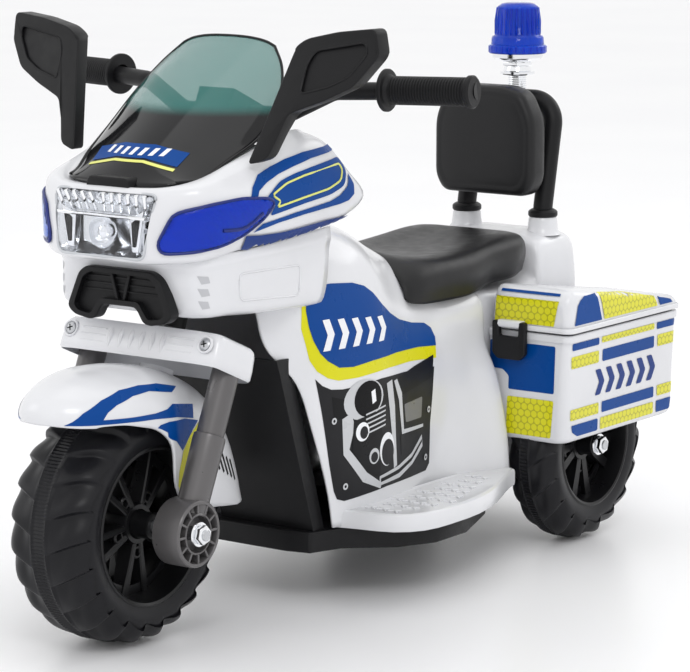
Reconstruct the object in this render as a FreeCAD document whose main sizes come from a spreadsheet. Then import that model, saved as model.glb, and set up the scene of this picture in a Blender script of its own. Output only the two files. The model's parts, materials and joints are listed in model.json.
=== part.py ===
"""Battery ride-on motorcycle for a toddler: three wheels, two lidded side boxes, a backrest and a beacon.

Frame: +X to the rider's left, -Y forward, +Z up, millimetres. The origin is on the ground, under the
middle of the machine. Every driving size is a cell of the sheet "Dims" and the pieces are bound to it.
"""
import FreeCAD, Part
import Sketcher
import math
import os

from FreeCAD import Placement, Rotation, Vector

doc = FreeCAD.newDocument("ride_on_motorcycle")
sheet = doc.addObject("Spreadsheet::Sheet", "Dims")
sheet_rows = []
nodes = []


# ---------------------------------------------------------------- sizes that carry their own expression
class Size:
    """A length or angle with its value and the sheet expression that gives it."""

    def __init__(self, value, text):
        self.value = value
        self.text = text

    def __add__(self, other):
        other = as_size(other)
        return Size(self.value + other.value, f"({self.text} + {other.text})")

    def __sub__(self, other):
        other = as_size(other)
        return Size(self.value - other.value, f"({self.text} - {other.text})")

    def __mul__(self, other):
        other = as_size(other)
        return Size(self.value * other.value, f"({self.text} * {other.text})")

    def __truediv__(self, other):
        other = as_size(other)
        return Size(self.value / other.value, f"({self.text} / {other.text})")

    def __radd__(self, other):
        return as_size(other) + self

    def __rsub__(self, other):
        return as_size(other) - self

    def __rmul__(self, other):
        return as_size(other) * self

    def __neg__(self):
        return Size(-self.value, f"(0 - {self.text})")


def as_size(number):
    return number if isinstance(number, Size) else Size(float(number), f"({float(number):.6f})")


def dim(alias, value):
    """A driving dimension: one plain number in the sheet, under its own name."""
    row = len(sheet_rows) + 1
    sheet.set(f"A{row}", alias)
    sheet.set(f"B{row}", str(value))
    sheet.setAlias(f"B{row}", alias)
    sheet_rows.append(alias)
    return Size(float(value), f"Dims.{alias}")


def sine(angle):
    return Size(math.sin(math.radians(angle.value)), f"sin({angle.text})")


def cosine(angle):
    return Size(math.cos(math.radians(angle.value)), f"cos({angle.text})")


def bind(thing, name, size):
    thing.setExpression(name, as_size(size).text)


def place(thing, x, y, z, axis=None, angle=None):
    """Put a thing at (x, y, z), turned by angle about axis, with the place bound to the sheet."""
    turn = Rotation(axis, as_size(angle).value) if axis else Rotation()
    x, y, z = as_size(x), as_size(y), as_size(z)
    thing.Placement = Placement(Vector(x.value, y.value, z.value), turn)
    bind(thing, "Placement.Base.x", x)
    bind(thing, "Placement.Base.y", y)
    bind(thing, "Placement.Base.z", z)
    if isinstance(angle, Size):
        bind(thing, "Placement.Rotation.Angle", angle)
    return thing


# ---------------------------------------------------------------- driving dimensions
wheelbase = dim("wheelbase", 576)
front_axle_back = dim("front_axle_back", 295)
front_wheel_radius = dim("front_wheel_radius", 108)
front_tyre_width = dim("front_tyre_width", 88)
front_rim_radius = dim("front_rim_radius", 73)
rear_wheel_radius = dim("rear_wheel_radius", 98.5)
rear_tyre_width = dim("rear_tyre_width", 52)
rear_rim_radius = dim("rear_rim_radius", 65)
rear_track = dim("rear_track", 239)
rim_thickness = dim("rim_thickness", 7)
hub_radius = dim("hub_radius", 19)
spoke_width = dim("spoke_width", 10)
spoke_thickness = dim("spoke_thickness", 18)
spoke_spread = dim("spoke_spread", 9)
axle_radius = dim("axle_radius", 6)
running_gap = dim("running_gap", 0.05)
body_gap = dim("body_gap", 1.5)
washer_thickness = dim("washer_thickness", 2)
nut_radius = dim("nut_radius", 9)
nut_height = dim("nut_height", 7)
rake = dim("rake", 23.5)
shell_wall = dim("shell_wall", 3)
fork_half_width = dim("fork_half_width", 77)
fork_tube_radius = dim("fork_tube_radius", 12.5)
fork_leg_radius = dim("fork_leg_radius", 14.5)
fork_leg_top = dim("fork_leg_top", 88)
hub_disc_radius = dim("hub_disc_radius", 30)
hub_disc_width = dim("hub_disc_width", 30)
shroud_bottom = dim("shroud_bottom", 142)
shroud_height = dim("shroud_height", 30)
shroud_half_width = dim("shroud_half_width", 91)
shroud_front = dim("shroud_front", 38)
shroud_back = dim("shroud_back", 30)
column_radius = dim("column_radius", 10)
column_top = dim("column_top", 380)
head_tube_bottom = dim("head_tube_bottom", 178)
head_tube_height = dim("head_tube_height", 135)
head_tube_wall = dim("head_tube_wall", 6)
screw_radius = dim("screw_radius", 5)
body_half_width = dim("body_half_width", 82)
tank_half_width = dim("tank_half_width", 92)
waist_half_width = dim("waist_half_width", 78)
tail_half_width = dim("tail_half_width", 70)
arch_half_width = dim("arch_half_width", 110)
arch_top = dim("arch_top", 190)
body_bottom = dim("body_bottom", 72)
seat_line = dim("seat_line", 264)
tank_top = dim("tank_top", 362)
tail_top = dim("tail_top", 302)
tail_end = dim("tail_end", 368)
chin_bottom = dim("chin_bottom", 293)
chin_top = dim("chin_top", 343)
chin_front = dim("chin_front", -280)
chin_half_width = dim("chin_half_width", 90)
tray_height = dim("tray_height", 20)
board_thickness = dim("board_thickness", 17)
board_half_width = dim("board_half_width", 163)
fairing_front = dim("fairing_front", -317)
fairing_back = dim("fairing_back", -88)
fairing_half_width = dim("fairing_half_width", 114)
fairing_nose_half = dim("fairing_nose_half", 58)
fairing_front_top = dim("fairing_front_top", 407)
fairing_back_top = dim("fairing_back_top", 442)
lamp_half_width = dim("lamp_half_width", 51)
lamp_height = dim("lamp_height", 56)
lamp_depth = dim("lamp_depth", 26)
lens_thickness = dim("lens_thickness", 3)
lamp_bulb_radius = dim("lamp_bulb_radius", 7)
indicator_depth = dim("indicator_depth", 6)
screen_length = dim("screen_length", 204)
screen_slope = dim("screen_slope", 36)
screen_curve = dim("screen_curve", 150)
screen_thickness = dim("screen_thickness", 2.5)
bar_radius = dim("bar_radius", 8)
bar_reach = dim("bar_reach", 153)
bar_setback = dim("bar_setback", 16)
grip_length = dim("grip_length", 88)
grip_radius = dim("grip_radius", 12)
grip_flange_radius = dim("grip_flange_radius", 19)
button_radius = dim("button_radius", 8)
button_gap = dim("button_gap", 0.5)
button_travel = dim("button_travel", 2)
mirror_thickness = dim("mirror_thickness", 18)
seat_front = dim("seat_front", 58)
seat_back = dim("seat_back", 286)
seat_height = dim("seat_height", 40)
post_half_spacing = dim("post_half_spacing", 47)
post_radius = dim("post_radius", 14)
hoop_radius = dim("hoop_radius", 10)
hoop_top = dim("hoop_top", 446)
pad_half_width = dim("pad_half_width", 60)
pad_height = dim("pad_height", 112)
pad_thickness = dim("pad_thickness", 30)
pole_radius = dim("pole_radius", 11)
beacon_base_radius = dim("beacon_base_radius", 30)
beacon_top_radius = dim("beacon_top_radius", 22.5)
beacon_height = dim("beacon_height", 52)
box_inner = dim("box_inner", 72)
box_outer = dim("box_outer", 168)
box_front = dim("box_front", 188)
box_back = dim("box_back", 399)
box_skirt = dim("box_skirt", 115)
box_floor = dim("box_floor", 202)
box_rim = dim("box_rim", 224)
box_wall = dim("box_wall", 3)
lid_height = dim("lid_height", 43)
lid_back_height = dim("lid_back_height", 16)
hinge_pin_radius = dim("hinge_pin_radius", 2)
hinge_barrel_radius = dim("hinge_barrel_radius", 5)
latch_width = dim("latch_width", 38)
latch_middle = dim("latch_middle", 105)
latch_thickness = dim("latch_thickness", 8)
latch_drop = dim("latch_drop", 34)
latch_rise = dim("latch_rise", 4)
latch_reach = dim("latch_reach", 8)
latch_ear_inset = dim("latch_ear_inset", 5)
latch_ear_radius = dim("latch_ear_radius", 4)
latch_gap = dim("latch_gap", 0.4)
lid_pin_near = dim("lid_pin_near", 79)
lid_pin_length = dim("lid_pin_length", 76)
lid_knuckle_near = dim("lid_knuckle_near", 96.5)
lid_knuckle_space = dim("lid_knuckle_space", 41)
pedal_length = dim("pedal_length", 62)
pedal_width = dim("pedal_width", 40)
motor_radius = dim("motor_radius", 18)
motor_length = dim("motor_length", 58)
battery_length = dim("battery_length", 70)
battery_width = dim("battery_width", 48)
battery_height = dim("battery_height", 100)

front_axle_y = -front_axle_back
rear_axle_y = wheelbase - front_axle_back
FORK_AXIS = Vector(-1, 0, 0)


def in_fork(y, z):
    """Row (y, z) of a point given in the raked fork's own frame: y back, z up along the steering axis."""
    y, z = as_size(y), as_size(z)
    return (front_axle_y + y * cosine(rake) + z * sine(rake),
            front_wheel_radius - y * sine(rake) + z * cosine(rake))


# ---------------------------------------------------------------- modelling helpers
def node(thing, label):
    """Name a finished piece: its label is also the name of its file."""
    thing.Label = label
    nodes.append(thing)
    return thing


def box(x, y, z, tilted=False):
    """A block over the ranges x, y, z; tilted ranges are in the raked fork's frame."""
    block = doc.addObject("Part::Box", "block")
    bind(block, "Length", as_size(x[1]) - x[0])
    bind(block, "Width", as_size(y[1]) - y[0])
    bind(block, "Height", as_size(z[1]) - z[0])
    if tilted:
        row_y, row_z = in_fork(y[0], z[0])
        return place(block, x[0], row_y, row_z, FORK_AXIS, rake)
    return place(block, x[0], y[0], z[0])


def rod(axis, start, length, radius):
    """A round bar along x, y, z, the fork axis, or ahead (forward, square to the fork)."""
    bar = doc.addObject("Part::Cylinder", "rod")
    bind(bar, "Radius", radius)
    bind(bar, "Height", length)
    if axis == "x":
        return place(bar, *start, Vector(0, 1, 0), 90)
    if axis == "y":
        return place(bar, *start, Vector(-1, 0, 0), 90)
    if axis == "fork":
        row_y, row_z = in_fork(start[1], start[2])
        return place(bar, start[0], row_y, row_z, FORK_AXIS, rake)
    if axis == "ahead":
        row_y, row_z = in_fork(start[1], start[2])
        return place(bar, start[0], row_y, row_z, -FORK_AXIS, 90 - rake)
    return place(bar, *start)


def cone(start, length, low_radius, high_radius):
    """A tapered round piece standing up from its start point."""
    taper = doc.addObject("Part::Cone", "taper")
    bind(taper, "Radius1", low_radius)
    bind(taper, "Radius2", high_radius)
    bind(taper, "Height", length)
    return place(taper, *start)


def fuse(*pieces):
    joined = doc.addObject("Part::MultiFuse", "joined")
    joined.Shapes = list(pieces)
    return joined


def cut(base, *tools):
    for tool in tools:
        result = doc.addObject("Part::Cut", "cut")
        result.Base = base
        result.Tool = tool
        base = result
    return base


def common(first, second):
    shared = doc.addObject("Part::MultiCommon", "shared")
    shared.Shapes = [first, second]
    return shared


def group(*pieces):
    """Separate solids that share one node."""
    bundle = doc.addObject("Part::Compound", "bundle")
    bundle.Links = list(pieces)
    return bundle


def origin_plane(body, role):
    return [item for item in body.Origin.OriginFeatures if item.Role == role][0]


PLANES = {"plan": "XY_Plane", "side": "YZ_Plane", "front": "XZ_Plane"}


def outline_sketch(body, plane, outline, start):
    """A closed outline of straight edges on one of the body's origin planes, every corner bound."""
    sketch = body.newObject("Sketcher::SketchObject", "outline")
    sketch.AttachmentSupport = [(origin_plane(body, PLANES[plane]), "")]
    sketch.MapMode = "FlatFace"
    bind(sketch, "AttachmentOffset.Base.z", start)
    corners = [(as_size(a), as_size(b)) for a, b in outline]
    points = [Vector(a.value, b.value, 0) for a, b in corners]
    for index, point in enumerate(points):
        sketch.addGeometry(Part.LineSegment(point, points[(index + 1) % len(points)]))
    for index, (a, b) in enumerate(corners):
        following = (index + 1) % len(corners)
        sketch.addConstraint(Sketcher.Constraint("Coincident", index, 2, following, 1))
    for index, (a, b) in enumerate(corners):
        for kind, size in (("DistanceX", a), ("DistanceY", b)):
            if abs(size.value) < 1e-9:
                on_axis = "PointOnObject"
                line = -2 if kind == "DistanceX" else -1
                sketch.addConstraint(Sketcher.Constraint(on_axis, index, 1, line))
                continue
            number = sketch.addConstraint(Sketcher.Constraint(kind, -1, 1, index, 1, size.value))
            sketch.setExpression(f"Constraints[{number}]", size.text)
    return sketch


def prism(plane, outline, start, end, tilted=False):
    """An outline pulled straight: plan along z, side along x, front along y, from start to end."""
    body = doc.addObject("PartDesign::Body", "prism")
    start, end = as_size(start), as_size(end)
    offset = -end if plane == "front" else start
    sketch = outline_sketch(body, plane, outline, offset)
    pad = body.newObject("PartDesign::Pad", "pad")
    pad.Profile = sketch
    bind(pad, "Length", end - start)
    body.Tip = pad
    if tilted:
        place(body, 0, front_axle_y, front_wheel_radius, FORK_AXIS, rake)
    return body


def mirrored(outline):
    """An outline given for the left half (x > 0), from front to back, closed over the right half."""
    right = [(-as_size(x), y) for x, y in reversed(outline)]
    return list(outline) + right


def flipped(outline, side):
    """The same outline on the left (side 1) or the right (side -1)."""
    if side == 1:
        return outline
    return [(-as_size(x), y) for x, y in reversed(outline)]


def span(side, near, far):
    """The x range from near to far on one side of the machine."""
    return (near, far) if side == 1 else (-as_size(far), -as_size(near))


def solid_node(label, shape):
    """A piece whose shape is made directly, for bent tubes that no feature makes in one step."""
    feature = doc.addObject("Part::Feature", "tube")
    feature.Shape = shape
    return node(feature, label)


def bent_tube(points, radius, bend):
    """A round bar along straight runs with an arc of the given radius at each corner."""
    corners = [Vector(*[as_size(value).value for value in point]) for point in points]
    edges = []
    last = corners[0]
    for before, corner, after in zip(corners, corners[1:], corners[2:]):
        inward = (before - corner).normalize()
        outward = (after - corner).normalize()
        half_turn = (math.pi - inward.getAngle(outward)) / 2
        reach = bend.value * math.tan(half_turn)
        start = corner + inward * reach
        end = corner + outward * reach
        middle_way = (inward + outward).normalize()
        middle = corner + middle_way * (bend.value / math.cos(half_turn) - bend.value)
        edges.append(Part.LineSegment(last, start).toShape())
        edges.append(Part.Arc(start, middle, end).toShape())
        last = end
    edges.append(Part.LineSegment(last, corners[-1]).toShape())
    wire = Part.Wire(edges)
    direction = corners[1] - corners[0]
    ring = Part.Wire([Part.makeCircle(radius.value, corners[0], direction)])
    return wire.makePipeShell([ring], True, False)


SIDES = (("left", 1), ("right", -1))


# ---------------------------------------------------------------- wheels
def tyre(label, x_middle, y, radius, width, rim_radius):
    """A moulded tyre: a plain thick ring, turned about the axle."""
    outer = rod("x", (x_middle - width / 2, y, radius), width, radius)
    inner = rod("x", (x_middle - width / 2 - 1, y, radius), width + 2, rim_radius)
    return node(cut(outer, inner), label)


def rim(label, x_middle, y, axle_height, width, radius):
    """A rim ring with five pairs of spokes and a hub that turns on the axle."""
    body = doc.addObject("PartDesign::Body", "rim")
    plane = (origin_plane(body, "YZ_Plane"), "")

    def ring(name, outer, inner, ring_width):
        sketch = body.newObject("Sketcher::SketchObject", name)
        sketch.AttachmentSupport = [plane]
        sketch.MapMode = "FlatFace"
        for index, circle_radius in enumerate((outer, inner)):
            sketch.addGeometry(Part.Circle(Vector(0, 0, 0), Vector(0, 0, 1), circle_radius.value))
            sketch.addConstraint(Sketcher.Constraint("Coincident", index, 3, -1, 1))
            radius_index = sketch.addConstraint(Sketcher.Constraint("Radius", index, circle_radius.value))
            sketch.setExpression(f"Constraints[{radius_index}]", circle_radius.text)
        pad = body.newObject("PartDesign::Pad", name + "_pad")
        pad.Profile = sketch
        pad.SideType = "Symmetric"
        bind(pad, "Length", ring_width)
        return pad

    def spoke(name, turn):
        sketch = body.newObject("Sketcher::SketchObject", name)
        sketch.AttachmentSupport = [plane]
        sketch.MapMode = "FlatFace"
        low, high = hub_radius - 4, radius - rim_thickness + 1
        near, far = spoke_spread * turn / 2, spoke_spread * turn * 1.6
        half = spoke_width / 2
        corners = [(near - half, low), (near + half, low), (far + half, high), (far - half, high)]
        points = [Vector(a.value, b.value, 0) for a, b in corners]
        for index in range(4):
            sketch.addGeometry(Part.LineSegment(points[index], points[(index + 1) % 4]))
        for index in range(4):
            sketch.addConstraint(Sketcher.Constraint("Coincident", index, 2, (index + 1) % 4, 1))
        for index, corner in enumerate(corners):
            for kind, size in zip(("DistanceX", "DistanceY"), corner):
                number = sketch.addConstraint(Sketcher.Constraint(kind, -1, 1, index, 1, size.value))
                sketch.setExpression(f"Constraints[{number}]", size.text)
        pad = body.newObject("PartDesign::Pad", name + "_pad")
        pad.Profile = sketch
        pad.SideType = "Symmetric"
        bind(pad, "Length", spoke_thickness)
        pattern = body.newObject("PartDesign::PolarPattern", name + "_pattern")
        pattern.Originals = [pad]
        pattern.Axis = ([item for item in body.Origin.OriginFeatures if item.Role == "X_Axis"][0], [""])
        pattern.Angle = 360
        pattern.Occurrences = 5
        body.Tip = pattern
        return pattern

    ring("hub", hub_radius, axle_radius + running_gap, width)
    ring("barrel", radius, radius - rim_thickness, width - 8)
    spoke("spoke_fore", 1)
    spoke("spoke_aft", -1)
    return node(place(body, x_middle, y, axle_height), label)


tyre("front_tyre", as_size(0), front_axle_y, front_wheel_radius, front_tyre_width, front_rim_radius)
rim("front_rim", as_size(0), front_axle_y, front_wheel_radius, front_tyre_width, front_rim_radius)
for side_name, side in SIDES:
    middle = rear_track / 2 * side
    tyre(f"rear_tyre_{side_name}", middle, rear_axle_y, rear_wheel_radius, rear_tyre_width, rear_rim_radius)
    rim(f"rear_rim_{side_name}", middle, rear_axle_y, rear_wheel_radius, rear_tyre_width, rear_rim_radius)


# ---------------------------------------------------------------- front fork and steering
def axle(label, y, z, half_length):
    return node(rod("x", (-half_length, y, z), half_length * 2, axle_radius), label)


def axle_ends(label, y, z, half_length):
    """A washer and a nut outside each end of an axle."""
    pieces = []
    for _, end in SIDES:
        inner = half_length if end == 1 else -half_length - washer_thickness - nut_height
        pieces.append(rod("x", (inner, y, z), nut_height + washer_thickness, nut_radius))
    return node(group(*pieces), label)


fork_outer = fork_half_width + hub_disc_width / 2
axle("front_axle", front_axle_y, front_wheel_radius, fork_outer)
axle_ends("front_axle_nuts", front_axle_y, front_wheel_radius, fork_outer)

for side_name, side in SIDES:
    middle = fork_half_width * side
    leg = rod("fork", (middle, 0, 0), fork_leg_top, fork_leg_radius)
    disc = rod("x", (middle - hub_disc_width / 2, front_axle_y, front_wheel_radius),
               hub_disc_width, hub_disc_radius)
    bore_half = hub_disc_width / 2 + fork_leg_radius
    bore = rod("x", (middle - bore_half, front_axle_y, front_wheel_radius), bore_half * 2, axle_radius)
    node(cut(fuse(leg, disc), bore), f"fork_leg_{side_name}")

tube_length = shroud_bottom + 8 - fork_leg_top
node(group(*[rod("fork", (fork_half_width * side, 0, fork_leg_top), tube_length, fork_tube_radius)
             for _, side in SIDES]), "fork_tubes")

shroud_block = box((-shroud_half_width, shroud_half_width), (-shroud_front, shroud_back),
                   (shroud_bottom, shroud_bottom + shroud_height), tilted=True)
shroud_hollow = box((fork_tube_radius + 6 - fork_half_width, fork_half_width - fork_tube_radius - 6),
                    (-shroud_front + 4, shroud_back - 4), (shroud_bottom - 1, shroud_bottom + 14),
                    tilted=True)
shroud_sockets = [rod("fork", (fork_half_width * side, 0, shroud_bottom - 1), 9, fork_tube_radius)
                  for _, side in SIDES]
shroud_bore = rod("fork", (0, 0, shroud_bottom - 1), shroud_height + 2, column_radius)
screws = [rod("ahead", (fork_half_width * side, 8 - shroud_front, shroud_bottom + 18), 10, screw_radius)
          for _, side in SIDES]
node(cut(shroud_block, shroud_hollow, *shroud_sockets, shroud_bore, *screws), "fork_shroud")
node(group(*screws), "shroud_screws")

node(rod("fork", (0, 0, shroud_bottom + 14), column_top - shroud_bottom - 14, column_radius),
     "steering_column")

fender_inner_half = front_tyre_width / 2 + 8
fender_outer_half = fender_inner_half + shell_wall


def fender_outline(inset):
    """The mudguard seen from the side, nose first; a positive inset gives its inside, open below."""
    front, top = front_axle_y, front_wheel_radius
    return [(front - 110 + inset, top + 108 - inset), (front - 78 + inset, top + 132 - inset),
            (front - 40, top + 141 - inset), (front + 10, top + 136 - inset),
            (front + 60 - inset, top + 126 - inset), (front + 100 - inset, top + 104 - inset),
            (front + 132 - inset, top + 62 - inset), (front + 150 - inset, top - 2 - inset),
            (front + 134 - inset * 2, top - 2 - inset), (front + 116, top + 20 - inset * 2),
            (front + 11, top + 23 - inset * 2), (front - 42, top + 96 - inset * 4),
            (front - 100, top + 100 - inset * 4)]


fender_plan = [(18, front_axle_y - 110), (40, front_axle_y - 98), (fender_outer_half, front_axle_y - 60),
               (fender_outer_half, front_axle_y + 150)]
fender_block = common(prism("side", fender_outline(0), -fender_outer_half, fender_outer_half),
                      prism("plan", mirrored(fender_plan), 60, 300))
fender_skin = cut(fender_block,
                  prism("side", fender_outline(shell_wall), -fender_inner_half, fender_inner_half))
fender_boss = rod("fork", (0, 0, 122), shroud_bottom - 122, column_radius + 6)
node(fuse(fender_skin, fender_boss), "front_fender")

grip_end_x = bar_reach + grip_length
bar_y, bar_z = in_fork(bar_setback, column_top + bar_radius)
grip_tip = (grip_end_x, bar_y + 41, bar_z + 29)
half_bar = [(bar_reach * 0.38, bar_y, bar_z), (bar_reach * 0.7, bar_y + 10, bar_z + 24)]
bar_route = [(grip_tip[0] - 2, grip_tip[1], grip_tip[2]), *reversed(half_bar)]
bar_route += [(-x, y, z) for x, y, z in reversed(bar_route)]
handlebar_tube = bent_tube(bar_route, bar_radius, dim("bar_bend", 24))
solid_node("handlebar", handlebar_tube)


def along(start, end, distance):
    """The point at a distance from start towards end, as plain coordinates."""
    first = Vector(*[as_size(value).value for value in start])
    last = Vector(*[as_size(value).value for value in end])
    return first + (last - first).normalize() * distance


for side_name, side in SIDES:
    bend_point = half_bar[1]
    root = along(bend_point, grip_tip, 0)
    heading = (along(bend_point, grip_tip, 1) - root).normalize()
    start = root + heading * ((bar_reach.value - root.x) / heading.x)
    start.x = start.x * side
    heading.x = heading.x * side
    sleeve = Part.makeCylinder(grip_radius.value, grip_length.value, start, heading)
    flange = Part.makeCylinder(grip_flange_radius.value, 4, start, heading)
    end_cap = Part.makeCylinder(grip_radius.value + 3, 4, start + heading * (grip_length.value - 4), heading)
    grip = sleeve.fuse(flange).fuse(end_cap).cut(handlebar_tube)
    solid_node(f"grip_{side_name}", grip.removeSplitter())

clamp_low = column_top - 12
clamp_block = box((-20, 20), (-bar_radius - 8, bar_setback + bar_radius + 8),
                  (clamp_low, column_top + bar_radius * 2 + 5), tilted=True)
clamp_hole = rod("fork", (0, 0, clamp_low - 1), 13, column_radius)
clamp_bar = rod("x", (-21, bar_y, bar_z), 42, bar_radius)
node(cut(clamp_block, clamp_hole, clamp_bar), "handlebar_clamp")


# ---------------------------------------------------------------- body
arch_back = box_front - 12


def body_side(inset):
    """The body seen from the side: foot of the nose, tank, seat line, tail; open underneath."""
    wall = as_size(inset)
    return [(-90 + wall, body_bottom - wall), (-132 + wall, 210), (-170 + wall, 252 - wall * 0.2),
            (-158 + wall, chin_bottom + wall), (chin_front + 40, chin_bottom + wall),
            (chin_front + 40, chin_top - wall), (fairing_back - 20, chin_top - wall),
            (fairing_back - 6, tank_top - wall), (-30, tank_top - 11 - wall), (34, tank_top - 31 - wall),
            (74, tank_top - 47 - wall), (106, tail_top - wall * 1.4), (108, seat_line - wall),
            (seat_back + 1 - wall, seat_line - wall), (seat_back + 1 - wall, tail_top - wall),
            (tail_end - wall, tail_top - wall), (tail_end - wall, body_bottom - wall)]


def body_plan(inset):
    """Half of the body seen from above, front to back: tank shoulders, waist, tail."""
    wall = as_size(inset)
    return [(62 - wall, -170 + wall), (body_half_width - wall, -132 + wall * 0.5),
            (tank_half_width - wall, -22), (waist_half_width - wall, 85),
            (waist_half_width - wall, arch_back - wall), (tail_half_width - wall, arch_back - wall),
            (tail_half_width - wall, tail_end - wall)]


def arch_plan(inset):
    """Half of the flare in front of the rear wheels, seen from above."""
    wall = as_size(inset)
    return [(waist_half_width - wall * 2, 104 + wall), (waist_half_width - wall, 113 + wall * 0.4),
            (arch_half_width - wall * 2, arch_back - 16 + wall),
            (arch_half_width - wall * 2, arch_back - wall)]


def chin_plan(inset):
    """Half of the chin under the headlight, seen from above."""
    wall = as_size(inset)
    return [(40 - wall, chin_front + wall), (60 - wall, chin_front + 14 + wall),
            (chin_half_width - wall, chin_front + 26 + wall), (tank_half_width - 4 - wall, -130)]


def body_solid(inset, grow):
    """The body without (inset 0) or as its inside space (inset one wall)."""
    trunk = common(prism("side", body_side(inset), -200, 200),
                   prism("plan", mirrored(body_plan(inset)), body_bottom - grow, 400))
    chin = prism("plan", mirrored(chin_plan(inset)), chin_bottom + inset, chin_top - inset)
    arch = prism("plan", mirrored(arch_plan(inset)), body_bottom - grow, arch_top - inset)
    return fuse(trunk, chin, arch)


body_skin = cut(body_solid(as_size(0), 0), body_solid(shell_wall, 10))
post_z = tail_top
posts = [rod("z", (post_half_spacing * side, 330, post_z), 16, post_radius) for _, side in SIDES]
post_sockets = [rod("z", (post_half_spacing * side, 330, post_z - 10), 30, hoop_radius) for _, side in SIDES]
tube_clearance = column_radius + head_tube_wall
column_way = rod("fork", (0, 0, shroud_bottom + 2), column_top - shroud_bottom, tube_clearance)
axle_way = rod("x", (-body_half_width - 40, rear_axle_y, rear_wheel_radius), body_half_width * 2 + 80,
               axle_radius)
node(cut(fuse(body_skin, *posts), *post_sockets, column_way, axle_way), "body_shell")

node(cut(rod("fork", (0, 0, head_tube_bottom), head_tube_height, tube_clearance),
         rod("fork", (0, 0, head_tube_bottom - 1), head_tube_height + 2, column_radius + running_gap)),
     "head_tube")

cowl_half_width = dim("cowl_half_width", 76)


def cowl_side(inset):
    """The black lower nose from the side: it leans forward to its top and is open behind."""
    wall = as_size(inset)
    return [(-107 + wall, body_bottom - wall), (-157 + wall, 226), (-162 + wall, 240 + wall),
            (-120 + wall, 240 + wall), (-70 + wall, body_bottom - wall)]


cowl_skin = cut(prism("side", cowl_side(0), -cowl_half_width, cowl_half_width),
                prism("side", cowl_side(shell_wall), shell_wall - cowl_half_width,
                      cowl_half_width - shell_wall))
body_clear = fuse(common(prism("side", body_side(0), -200, 200),
                         prism("plan", mirrored(body_plan(0)), body_bottom, 400)),
                  prism("plan", mirrored(arch_plan(0)), body_bottom, arch_top))
node(cut(cowl_skin, body_clear), "front_cowl")

tray_plan = [(50, -118), (76, -112), (88, -80), (126, -46), (146, -5), (146, 44), (118, 118), (92, 150),
             (60, 168), (60, tail_end - 8)]
tray_floor = body_bottom - tray_height + shell_wall
battery_front = 60
battery_back = battery_width + battery_front
tray_pockets = [box((-60, 60), (-80, battery_front - 4), (tray_floor, body_bottom + 1)),
                box((-50, 50), (battery_back + 4, tail_end - 18), (tray_floor, body_bottom + 1))]
node(cut(prism("plan", mirrored(tray_plan), body_bottom - tray_height, body_bottom), *tray_pockets),
     "undertray")

for side_name, side in SIDES:
    board = [(92, -79), (138, -70), (board_half_width, -33), (board_half_width - 1, 47), (133, 131),
             (120, 158), (waist_half_width - 2, 112), (waist_half_width - 2, 84), (tank_half_width - 3, -22)]
    plate = prism("plan", flipped(board, side), body_bottom, body_bottom + board_thickness)
    pedal_way = [] if side == 1 else [box((-148, -100), (-46, 26), (body_bottom + 8, body_bottom + 40))]
    node(cut(plate, body_clear, *pedal_way), f"footboard_{side_name}")

pedal_pin_y = 20
pedal_x = span(-1, 104, 104 + pedal_width)
pedal_base = body_bottom + 9
pedal_side = [(pedal_pin_y - 2, pedal_base), (pedal_pin_y + 3, pedal_base + 4),
              (pedal_pin_y + 3, pedal_base + 11),
              (pedal_pin_y - pedal_length, pedal_base + 24), (pedal_pin_y - pedal_length, pedal_base + 17)]
node(prism("side", pedal_side, pedal_x[0], pedal_x[1]), "throttle_pedal")


# ---------------------------------------------------------------- front fairing, lamps and screen
def fairing_side(inset):
    wall = as_size(inset)
    return [(fairing_front + wall, chin_top - wall), (fairing_front + wall, fairing_front_top - 14),
            (fairing_front + 20, fairing_front_top - wall), (-150, fairing_back_top - 6 - wall),
            (fairing_back - 10 + wall, fairing_back_top - wall), (fairing_back + wall, 378 - wall),
            (fairing_back - 20 + wall, chin_top - wall)]


def fairing_plan(inset):
    wall = as_size(inset)
    return [(fairing_nose_half - wall, fairing_front + wall), (fairing_half_width - wall, -212 + wall * 0.4),
            (fairing_half_width - wall, fairing_back + wall)]


def fairing_solid(inset):
    return common(prism("side", fairing_side(inset), -200, 200),
                  prism("plan", mirrored(fairing_plan(inset)), 300, 500))


def indicator_outline(side):
    """The strip along the fairing's slanted flank, seen from above."""
    strip = [(fairing_nose_half - indicator_depth, fairing_front + 3),
             (fairing_nose_half + 1.6, fairing_front + 3),
             (fairing_half_width + 0.4, -212), (fairing_half_width - indicator_depth, -212)]
    return strip if side == 1 else [(-x, y) for x, y in reversed(strip)]


indicator_side = [(-313, 353), (-300, 386), (-262, 396), (-217, 392), (-236, 372), (-270, 357)]
indicator_cuts = [common(prism("plan", indicator_outline(side), 340, 400),
                         prism("side", indicator_side, -200, 200)) for _, side in SIDES]
lamp_base = chin_top + 3
lamp_hole = box((-lamp_half_width, lamp_half_width), (fairing_front - 1, fairing_front + lamp_depth),
                (lamp_base, lamp_base + lamp_height))
screen_well = box((-66, 66), (-262, -100), (400, 460))
fairing_skin = cut(fairing_solid(as_size(0)), fairing_solid(shell_wall))
neck_way = box((-tank_half_width, tank_half_width), (fairing_back - 40, fairing_back + 10),
               (chin_top - 4, tank_top + 1))
node(cut(fairing_skin, *indicator_cuts, lamp_hole, screen_well, neck_way), "fairing")

for (side_name, side), strip in zip(SIDES, indicator_cuts):
    piece = common(prism("plan", indicator_outline(side), 340, 400),
                   prism("side", indicator_side, -200, 200))
    node(cut(piece, fairing_solid(shell_wall + 1.5)), f"indicator_{side_name}")

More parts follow.
